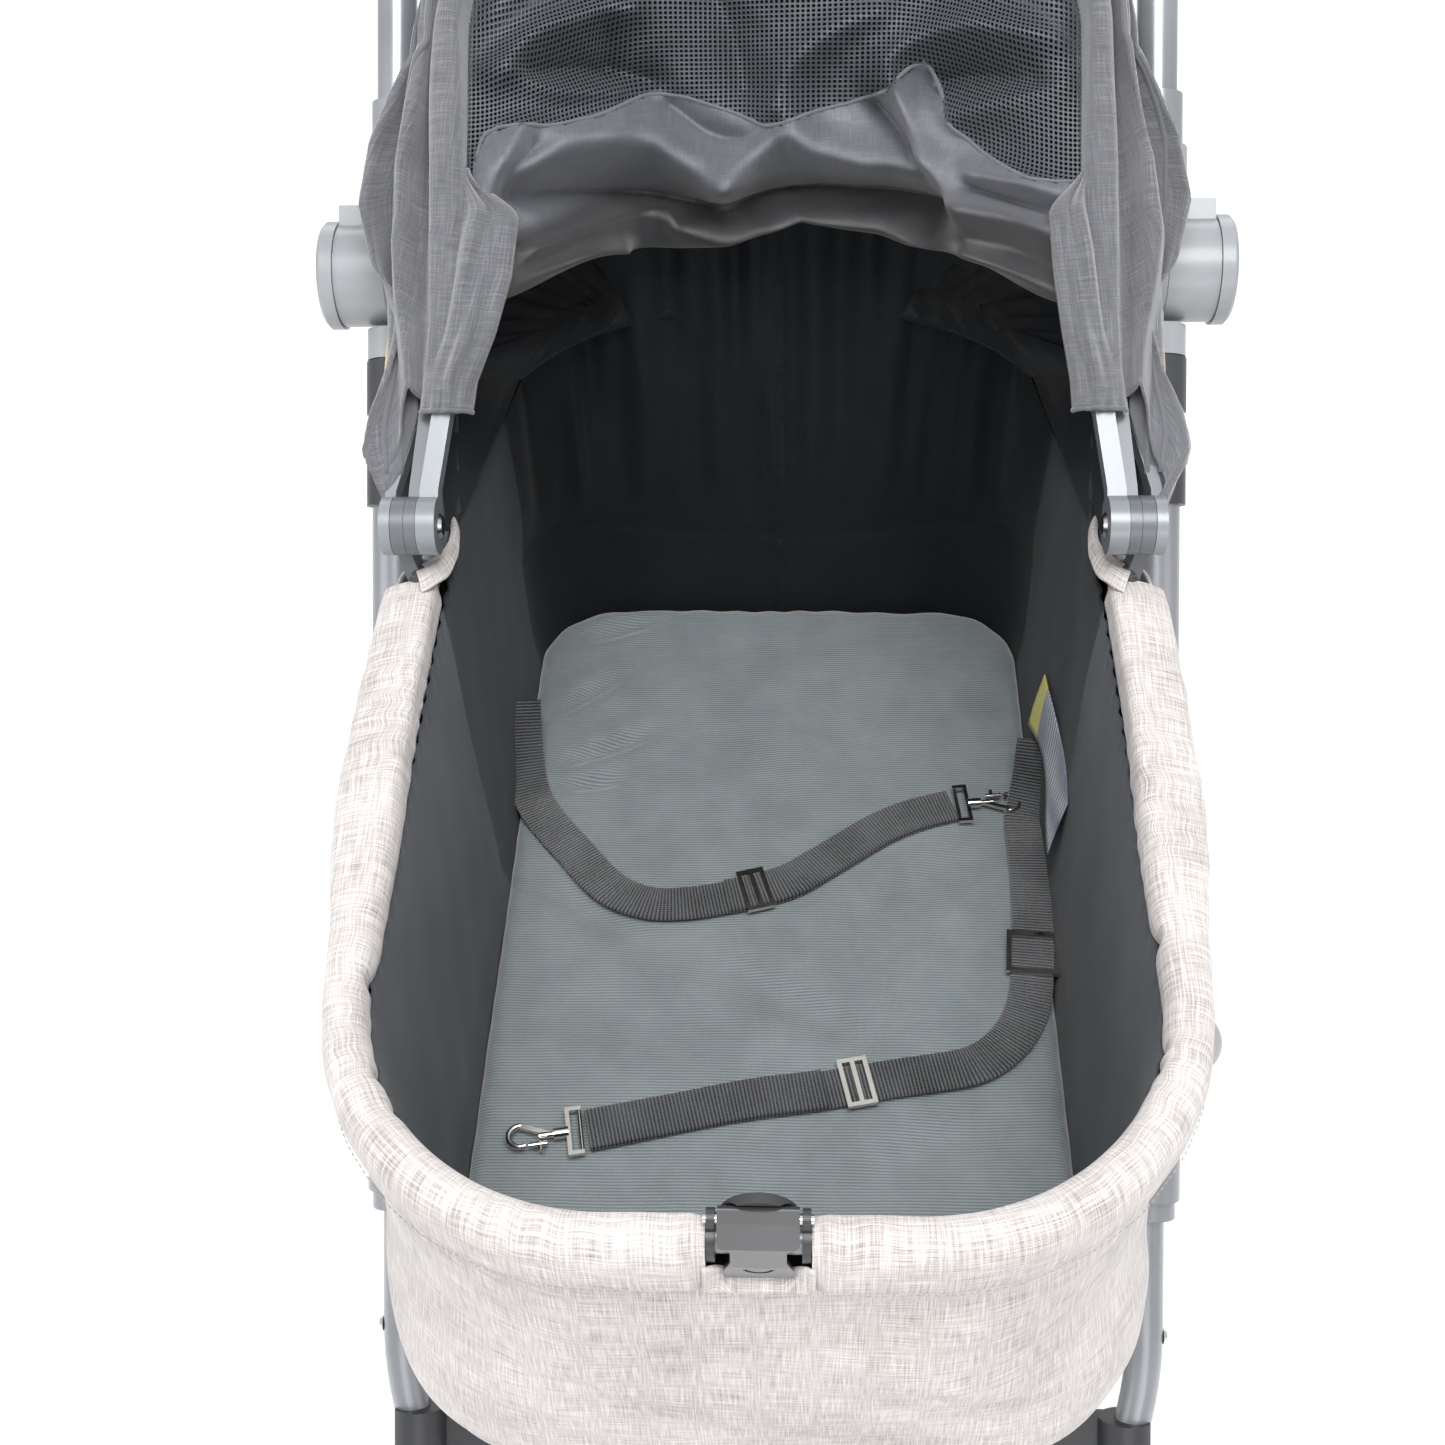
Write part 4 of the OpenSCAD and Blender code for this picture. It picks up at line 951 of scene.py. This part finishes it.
def hood_sheet(name, rails, mat, seed, wrinkle, rows_between=7):
    """One sheet lofted through rails, with wrinkles along the bows, and its points."""
    rails = np.array(rails)
    m = (len(rails) - 1) * rows_between + 1
    p = np.array([smooth_line(rails[:, j], m) for j in range(NU)]).transpose(1, 0, 2)
    u, v = np.meshgrid(np.linspace(0, 1, NU), np.linspace(0, 1, m))
    d = ripple(u * 3.6, v * 1.6, seed, 5, 0.8, 2.2) + 0.5 * ripple(u * 7, v * 1.8, seed + 1, 4, 0.8, 2.0)
    edge = np.minimum(1, np.minimum(v, 1 - v) * 8)
    p = p + sheet_normals(p) * (wrinkle * d * edge)[..., None]
    ob = grid(name, p, mat)
    thicken(ob, 0.0011, 0.0)
    return ob, p


def back_rails(top):
    """Rails from the cabin's rear rim up to the rear bow, bellied towards the back."""
    o = loop(0.1765, -0.3, 0.1, 0.2700, 0.062, 2000)
    right = o[(o[:, 1] > 0.052) & (o[:, 0] >= 0)]
    right = right[np.argsort(right[:, 1] - np.where(right[:, 1] > 0.2699, right[:, 0], 0))]
    half = np.vstack([right, [[0.0, 0.2700]]])
    s = run(half)
    g = np.linspace(0, s[-1], NU // 2 + 1)
    x, y = np.interp(g, s, half[:, 0]), np.interp(g, s, half[:, 1])
    x, y = np.concatenate([-x, x[-2::-1]]), np.concatenate([y, y[-2::-1]])
    low = np.column_stack([x, y, rim_z_at(y) - 0.004])
    mids = [low * 0.66 + top * 0.34, low * 0.33 + top * 0.67]
    for rail, belly in zip(mids, (0.010, 0.012)):
        rail[:, 1] += belly * (1 - np.linspace(-1, 1, NU) ** 2)
    return [low, *mids, top]


sleeve_in = table_fn([(0.060, -0.0125), (0.078, -0.0100), (0.105, -0.0072), (0.130, -0.0065)])
sleeve_out = table_fn([(0.060, 0.0125), (0.080, 0.0105), (0.105, 0.0085), (0.130, 0.0085)])
lobe_in = table_fn([(0.014, 0.026), (0.040, 0.034), (0.081, 0.026), (0.108, 0.021), (0.139, 0.033),
                    (0.172, 0.037), (0.206, 0.032), (0.254, 0.013)])
lobe = table_fn([(0.002, 0.022), (0.019, 0.030), (0.040, 0.039), (0.060, 0.036), (0.081, 0.028),
                 (0.108, 0.0215), (0.122, 0.024), (0.139, 0.036), (0.172, 0.043), (0.206, 0.038),
                 (0.242, 0.024), (0.254, 0.018)])
lobe_out = table_fn([(0.018, 0.022), (0.060, 0.026), (0.120, 0.028), (0.204, 0.022), (0.254, 0.010)])
ON_MID_BOW = (149.0, 0.177, 0.060, const(0.0078), 0.0078)
INSIDE_REAR_BOW = (158.8, 0.187, 0.080, const(-0.0062), -0.0062)

# Front to middle bow: the sleeve of the front bow, then two rolled lobes that lap over each other
FRONT_RAILS = [
    (142.6, 0.167, 0.062, sleeve_in, -0.0060),
    (139.4, 0.167, 0.060, sleeve_in, -0.0068),
    (137.2, 0.167, 0.058, const(-0.0040), -0.0030),
    (136.9, 0.167, 0.058, const(0.0030), 0.0035),
    (138.0, 0.167, 0.060, sleeve_out, 0.0080),
    (141.0, 0.168, 0.064, sleeve_out, 0.0090),
    (143.6, 0.169, 0.066, pinch(0.0115, 0.012), 0.0095),
    (142.8, 0.170, 0.068, pinch(0.0160, 0.013), 0.0100),
    (139.6, 0.171, 0.070, pinch(0.0205, 0.014), 0.0110),
    (137.9, 0.171, 0.072, pinch(0.0240, 0.015), 0.0120),
    (138.4, 0.171, 0.070, pinch(0.0275, 0.017), 0.0135),
    (141.4, 0.172, 0.060, pinch(0.0290, 0.020), 0.0130),
    (144.4, 0.172, 0.040, pinch(0.0285, 0.022), 0.0120),
    (143.6, 0.172, 0.022, lobe_in, 0.0105),
    (141.4, 0.172, 0.008, lobe, 0.0115),
    (143.0, 0.172, 0.002, lobe, 0.0120),
    (146.2, 0.174, 0.010, lobe_out, 0.0110),
    ON_MID_BOW,
]
REAR_RAILS = [
    ON_MID_BOW,
    (151.0, 0.179, 0.070, const(0.0120), 0.0200),
    (153.5, 0.182, 0.080, const(0.0120), 0.0300),
    (156.0, 0.185, 0.080, const(0.0095), 0.0220),
    (158.0, 0.187, 0.080, const(0.0068), 0.0070),
    (159.5, 0.187, 0.080, const(0.0020), 0.0020),
    INSIDE_REAR_BOW,
]
INNER_HEM_ROW, OUTER_HEM_ROW = 9 * 5, 14 * 5
hood_a, front_points = hood_sheet("hood_front_cloth", [u_line(*r) for r in FRONT_RAILS], M["hood"], 41,
                                  0.0022, rows_between=5)
hood_b, _ = hood_sheet("hood_rear_cloth", [u_line(*r) for r in REAR_RAILS], M["hood"], 51, 0.0008)
# The back panel takes the lining's darkest copy, a painted shade for the inside of the hood.
back_panel, _ = hood_sheet("hood_back_cloth", back_rails(u_line(*INSIDE_REAR_BOW)), M["dark"], 61, 0.0010,
                           rows_between=12)
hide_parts("hood_back")

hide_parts("hood_rear")
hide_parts("hood_mid", "hood_front")


# Front screen: netting window above, satin panel rolled in folds below, hung from the front bow
def crease_field(u, v, lines):
    """Sum of ridges (height above 0) and valleys (below 0) that follow lines in the screen's own u and v."""
    total = np.zeros_like(u)
    for pts, height, width, sharp in lines:
        q = smooth_line(np.array(pts, float) * [0.62, 1.0], 60)
        best = np.full(u.shape, 1e9)
        for a, b in zip(q[:-1], q[1:]):
            ab = b - a
            s = np.clip(((u * 0.62 - a[0]) * ab[0] + (v - a[1]) * ab[1]) / (ab @ ab), 0, 1)
            best = np.minimum(best, np.hypot(u * 0.62 - a[0] - s * ab[0], v - a[1] - s * ab[1]))
        total += height * np.exp(-(best / width) ** sharp)
    return total


FOLDS = [  # u and v points; height in metres; width in v; power, 1 for a sharp crease and 2 for a soft roll
    ([(-0.90, 0.62), (-0.75, 0.59), (-0.58, 0.61), (-0.41, 0.64), (-0.27, 0.70), (-0.17, 0.75)],
     0.017, 0.058, 1.9),
    ([(-0.17, 0.75), (-0.05, 0.65), (0.04, 0.62), (0.15, 0.66), (0.31, 0.69), (0.52, 0.70)],
     0.016, 0.050, 1.9),
    ([(-0.36, 0.56), (-0.22, 0.63), (-0.10, 0.64), (0.00, 0.60)], -0.010, 0.028, 1.4),
    ([(-0.84, 0.66), (-0.66, 0.715), (-0.51, 0.76), (-0.27, 0.795), (-0.10, 0.80), (0.20, 0.78),
      (0.56, 0.78)], -0.018, 0.032, 1.3),
    ([(-0.80, 0.58), (-0.88, 0.64), (-0.84, 0.74)], -0.015, 0.028, 1.3),
    ([(-0.97, 0.80), (-0.93, 0.68), (-0.88, 0.58), (-0.84, 0.53)], 0.012, 0.035, 1.5),
    ([(0.40, 0.52), (0.50, 0.62), (0.60, 0.70), (0.68, 0.78), (0.71, 0.90)], 0.019, 0.048, 1.6),
    ([(0.36, 0.56), (0.46, 0.64), (0.54, 0.71)], -0.015, 0.028, 1.3),
    ([(-0.34, 0.83), (-0.12, 0.88), (0.12, 0.87), (0.38, 0.86), (0.58, 0.90)], 0.013, 0.038, 1.6),
    ([(0.05, 0.80), (0.12, 0.92)], -0.004, 0.028, 1.4),
    ([(-0.87, 0.93), (-0.76, 0.89), (-0.66, 0.87), (-0.56, 0.88)], 0.016, 0.028, 1.4),
    ([(-0.80, 0.81), (-0.58, 0.81), (-0.38, 0.80)], 0.009, 0.026, 1.5),
    ([(0.70, 0.76), (0.84, 0.75), (0.97, 0.76)], 0.012, 0.034, 1.5),
    ([(0.70, 0.715), (0.84, 0.71), (0.96, 0.71)], -0.011, 0.020, 1.3),
    ([(0.70, 0.68), (0.84, 0.665), (0.95, 0.665)], 0.010, 0.028, 1.6),
    ([(0.72, 0.90), (0.82, 0.88), (0.93, 0.90)], 0.013, 0.034, 1.5),
    ([(0.70, 0.83), (0.84, 0.82), (0.96, 0.83)], -0.004, 0.024, 1.3),
    ([(-0.90, 0.38), (-0.78, 0.33), (-0.62, 0.33), (-0.48, 0.34)], 0.012, 0.040, 1.6),
    ([(-0.56, 0.36), (-0.53, 0.46), (-0.42, 0.50)], -0.010, 0.030, 1.4),
    ([(-0.86, 0.40), (-0.70, 0.48), (-0.54, 0.51)], 0.011, 0.034, 1.5),
    ([(-0.80, 0.40), (-0.66, 0.43), (-0.56, 0.46)], -0.009, 0.028, 1.4),
    ([(0.38, 0.46), (0.50, 0.41), (0.69, 0.35), (0.92, 0.33)], 0.013, 0.045, 1.6),
    ([(0.54, 0.50), (0.66, 0.46), (0.84, 0.42)], -0.010, 0.034, 1.4),
    ([(0.00, 0.56), (0.06, 0.47), (0.19, 0.40), (0.34, 0.36)], 0.010, 0.050, 1.6),
    ([(0.62, 0.56), (0.79, 0.48), (0.95, 0.42)], 0.010, 0.045, 1.6),
    ([(-0.30, 0.12), (-0.22, 0.28), (-0.14, 0.40), (-0.10, 0.52)], -0.010, 0.050, 1.5),
    ([(-0.90, 0.24), (-0.70, 0.10), (-0.40, 0.06)], 0.009, 0.050, 1.8),
    ([(0.60, 0.08), (0.80, 0.16), (0.96, 0.26)], 0.009, 0.050, 1.8),
]

SCREEN_HALF, SCREEN_THETA = 0.1610, 140.4
GATHERED = 132  # row from which the side edges are gathered too tightly to have directions of their own
WINDOW = [(-1.0, 0.80), (-0.985, 0.66), (-0.97, 0.58), (-0.93, 0.51), (-0.85, 0.52), (-0.75, 0.545),
          (-0.61, 0.555), (-0.42, 0.53), (-0.31, 0.54), (-0.15, 0.575), (-0.02, 0.61), (0.12, 0.58),
          (0.25, 0.56), (0.38, 0.53), (0.47, 0.475), (0.51, 0.45), (0.55, 0.50), (0.61, 0.58), (0.72, 0.63),
          (0.84, 0.65), (1.0, 0.63)]
window_edge = table_fn(WINDOW)  # the v at which the netting ends


def front_screen():
    """Points of the screen. Its u runs from -1 at the left to 1 at the right, and its v from 0 down to 1."""
    nu, nv = 261, 151
    centre = smooth_line([(0.297, 0.952), (0.278, 0.918), (0.261, 0.884), (0.248, 0.850), (0.240, 0.822),
                          (0.235, 0.797), (0.232, 0.776), (0.236, 0.762), (0.247, 0.758), (0.258, 0.764)], nv)
    rows = []
    for v, c in zip(np.linspace(0, 1, nv), centre):
        row = []
        w_edge = 0.330 - 0.215 * min(1, v / 0.90)
        on_bow = 1 - smoothstep(v, 0.0, 0.22)
        for u in np.linspace(-1, 1, nu):
            x = SCREEN_HALF * u
            drop = (CORNER - 0.006) ** 2 - max(0.0, abs(x) - 0.052) ** 2
            w_top = REACH - CORNER + math.sqrt(max(0.0, drop))
            w_bow = min(w_top, w_edge + (w_top - w_edge) * (1 - smoothstep(v, 0.0, 0.25)))
            k = smoothstep(abs(u), 0.34, 1.0) ** 1.3
            p = bow_point(SCREEN_THETA, x, w_edge) * k + np.array([x, *c]) * (1 - k)
            row.append(p * (1 - on_bow) + bow_point(SCREEN_THETA, x, w_bow) * on_bow)
        rows.append(row)
    p = np.array(rows)
    u, v = np.meshgrid(np.linspace(-1, 1, nu), np.linspace(0, 1, nv))
    nrm = sheet_normals(p)
    nrm[GATHERED:] = nrm[GATHERED]
    facing = np.array([0.0, -0.83, 0.55])
    nrm = nrm * np.sign(np.sum(nrm * facing, axis=2))[..., None] * 0.5 + facing * 0.5
    nrm /= np.linalg.norm(nrm, axis=2)[..., None]
    ends = smoothstep(v, 0.86, 0.90) * smoothstep(np.abs(u), 0.50, 0.75)
    share = (1 - np.abs(u) ** 10) * smoothstep(v, 0.0, 0.10) * (1 - ends)
    relief = crease_field(u, v, FOLDS) * 1.35
    relief += 0.0022 * ripple(u * 2.4, v * 3.4, 71, 5, 0.8, 2.4)
    relief += 0.0008 * ripple(u * 6, v * 7, 73, 5, 0.8, 2.4)
    # the lower edge hangs in an uneven line
    hang = 0.010 * np.sin(u * 4.2 + 0.6) + 0.006 * np.sin(u * 9.0 + 1.0)
    p[..., 2] += hang * smoothstep(v, 0.7, 1.0) * (1 - np.abs(u) ** 4)
    return p + nrm * (relief * share)[..., None]


screen_points = front_screen()
# Painted shade: the satin darkens below the roll's fold, between rows 108 and 117, where its underside is in
# shadow.
down = np.concatenate([[0], np.cumsum(np.linalg.norm(np.diff(screen_points, axis=0), axis=2).mean(1))])
paint_shade_band(M["satin"], float(down[108]), float(down[117]), 0.12)
screen = grid("front_screen", screen_points, [M["net"], M["satin"]],
              face_mat=lambda v, u: 0 if v < window_edge(2 * u - 1) else 1)
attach(screen, "bow_front")
line = []
for i, u in enumerate(np.linspace(-1, 1, screen_points.shape[1])):
    row, part = divmod(window_edge(u) * (screen_points.shape[0] - 1), 1)
    line.append(screen_points[int(row), i] * (1 - part) + screen_points[int(row) + 1, i] * part)
seam = tube("window_binding", smooth_line(line[::6], 200), 0.0010, M["hood"], 8)
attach(seam, "bow_front")

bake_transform(hood_a)
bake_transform(hood_b)
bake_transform(back_panel)

CUFF_OUTER = table_fn([(0.059, 0.0140), (0.075, 0.0125), (0.100, 0.0075), (0.140, 0.0040), (0.187, -0.0060)])


def cuff(k, inner, name):
    """Gathered cuff of the screen round a front arm, wide above and narrow at its hem. k is x's sign."""
    rows = []
    for f in np.linspace(0, 1, 61):
        w = 0.059 + 0.128 * f
        outer = CUFF_OUTER(w)
        wide = inner(w) * (1 - 0.75 * smoothstep(w, 0.160, 0.187))
        flatter = 1 - 0.7 * smoothstep(w, 0.150, 0.187)
        row = []
        for s in np.linspace(0, 1, 41):
            turn = 2 * math.pi * s
            arch = math.sin(math.pi * s)
            folds = 0.0026 * math.sin(turn * 1.6 + 24 * w + 0.6) + 0.0016 * math.sin(turn * 3.1 - 41 * w)
            h = (0.0088 * arch ** 0.55 - 0.0015) * flatter + 0.0020
            h += folds * arch * smoothstep(w, 0.062, 0.085)
            h += 0.0012 * math.sin(turn * 4.0) * (1 - smoothstep(w, 0.059, 0.075)) * arch
            x = 0.167 + outer * (1 - s) - wide * s
            row.append(bow_point(140.0 - math.degrees(h / w), x, w) * [k, 1, 1])
        rows.append(row)
    ob = grid(name, rows, M["hood"], flip=k < 0)
    thicken(ob, 0.0011, 0.0)
    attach(ob, "bow_front")
    for at, r, tag in ((0, 0.0013, "_hem"), (3, 0.0006, "_seam")):
        roll = tube(name + tag, smooth_line(rows[at], 70), r, M["hood"], 8)
        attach(roll, "bow_front")


cuff(-1, table_fn([(0.059, 0.0130), (0.075, 0.0150), (0.100, 0.0240), (0.130, 0.0320), (0.187, 0.0380)]),
     "cuff_left")
cuff(1, table_fn([(0.059, 0.0130), (0.075, 0.0140), (0.100, 0.0180), (0.130, 0.0220), (0.187, 0.0260)]),
     "cuff_right")

# Hem rolls on the two lobes
for row, r, name in ((INNER_HEM_ROW, 0.0016, "lobe_hem_inner"), (OUTER_HEM_ROW, 0.0017, "lobe_hem_outer")):
    outwards = (front_points[row] - front_points[row + 3]) * 0.02
    roll = tube(name, front_points[row] + outwards, r, M["hood"], 8)
    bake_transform(roll)

# Cream piping along the sides of the hood, outside the rear bow: angle, x and w of its points
PIPING = [(157.5, 0.1995, 0.225), (156.0, 0.2010, 0.19), (154.5, 0.2020, 0.155), (153.0, 0.2030, 0.12),
          (151.5, 0.2030, 0.09), (150.0, 0.2020, 0.065)]
for k, name in ((1, "piping_right"), (-1, "piping_left")):
    line = smooth_line([bow_point(theta, k * x, w) for theta, x, w in PIPING], 60)
    piping = tube(name, line, 0.0017, M["piping"], 10)
    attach(piping, "bow_rear")

# ---------- linen flaps at the hinges, and the care label ----------
FLAP_OUTER = [(0.1760, 0.0738, 0.682), (0.1721, 0.0639, 0.683), (0.1700, 0.0540, 0.684),
              (0.1684, 0.0411, 0.686), (0.1681, 0.0283, 0.688), (0.1696, 0.0168, 0.690),
              (0.1720, 0.0106, 0.691), (0.1764, 0.0045, 0.692), (0.1813, 0.0011, 0.692)]
FLAP_INNER = [(0.1764, 0.0703, 0.684), (0.1738, 0.0581, 0.686), (0.1730, 0.0483, 0.688),
              (0.1735, 0.0396, 0.690), (0.1750, 0.0320, 0.692), (0.1770, 0.0266, 0.694),
              (0.1797, 0.0219, 0.695), (0.1831, 0.0186, 0.695), (0.1861, 0.0150, 0.695)]


def hinge_flap(k, side):
    """Linen cut in a half round beside a hinge, its binding, and the arm's collar. k is x's sign."""
    outer, inner = smooth_line(FLAP_OUTER, 48) * [k, 1, 1], smooth_line(FLAP_INNER, 48) * [k, 1, 1]
    rows = []
    for s in np.linspace(0, 1, 9):
        row = inner * (1 - s) + outer * s
        row[:, 2] += 0.0024 * math.sin(math.pi * s) + 0.0006 * np.sin(np.arange(48) * 0.5) * s
        rows.append(row)
    flap = grid("hinge_flap_" + side, rows, M["linen"], flip=k < 0)
    thicken(flap, 0.0018, 0.0, 1)
    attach(flap, "chassis")
    edge = tube("hinge_flap_" + side + "_binding", inner, 0.0011, M["linen"], 8)
    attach(edge, "chassis")
    neck = [on_rim(k * 0.186, -0.010, -0.006), on_rim(k * 0.1855, -0.004, 0.004),
            on_rim(k * 0.185, 0.0, 0.014)]
    collar = tube("hinge_collar_" + side, neck, [0.0062, 0.0056, 0.0050], M["joint"], 20)
    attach(collar, "chassis")


hinge_flap(1, "right")
hinge_flap(-1, "left")


def make_label():
    """Folded care label sewn flat to the right wall, left blank."""
    rows = []
    for v in np.linspace(0, 1, 24):
        row = []
        for w in np.linspace(0, 1, 10):
            z = 0.545 - 0.045 * w - 0.020 * (1 - v) ** 2 + 0.006 * math.sin(v * 5)
            x = 0.1678 - 0.0045 * w - 0.0018 * math.sin(v * 6 + 2 * w)
            row.append((x, 0.112 - 0.120 * v, z))
        rows.append(row)
    ob = grid("care_label", rows, [M["label_tip"], M["label"]], face_mat=lambda v, u: 0 if v < 0.18 else 1)
    thicken(ob, 0.0005, 0.0)
    return ob


label = make_label()
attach(label, "chassis")

# ---------- basket ----------
# Its floor is an arc about the handle's pivot line, so that the folding crossbar clears it
PIVOT_Y, PIVOT_Z, FLOOR_REACH = 0.157373, 0.703946, 0.5545
BASKET_FRONT, BASKET_BACK = -0.2135, 0.1885


def make_basket():
    n = 300
    edge = loop(0.1705, BASKET_FRONT, 0.028, BASKET_BACK, 0.028, n)
    x, y = edge.T
    out = loop_normals(edge)
    along = np.arange(n) / n
    arc = lambda at: PIVOT_Z - np.sqrt(FLOOR_REACH ** 2 - (at - PIVOT_Y) ** 2)
    sag = 0.006 * np.sin(np.pi * (y - BASKET_FRONT) / (BASKET_BACK - BASKET_FRONT)) * (np.abs(x) > 0.12)
    top = 0.3170 - sag
    rows = []
    for v in np.linspace(0, 1, 26):
        wave = 0.0015 * (ripple(along * 14, v * 1.4, 81, 4, 0.8, 2.5) - math.sin(math.pi * v))
        rows.append(np.column_stack([edge + out * wave[:, None], top * (1 - v) + (arc(y) + 0.006) * v]))
    middle = np.array([0.0, (BASKET_FRONT + BASKET_BACK) / 2])
    for t in (0.985, 0.95, 0.88, 0.75, 0.6, 0.45, 0.3, 0.15, 0.02):
        o = middle + (edge - middle) * t
        uneven = 0.001 * ripple(o[:, 0] * 9, o[:, 1] * 9, 83, 4)
        rows.append(np.column_stack([o, arc(o[:, 1]) + uneven + 0.001]))
    ob = grid("basket_cloth", rows, M["basket"], closed=True)
    thicken(ob, 0.0016, -1.0)
    rim = tube("basket_binding", np.column_stack([edge, top]), 0.0034, M["web"], 10, closed=True)
    return ob, rim


basket, basket_rim = make_basket()
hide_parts("basket")
for o in (basket, basket_rim):
    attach(o, "chassis")

# ---------- floor ----------
floor_mat = new_material("studio_floor", (0.93, 0.93, 0.93), 0.8, spec=0.1)
corners = [(-4, -4, 0), (4, -4, 0), (4, 4, 0), (-4, 4, 0)]
stage = make_object("studio_ground", corners, [(0, 1, 2, 3)], floor_mat)
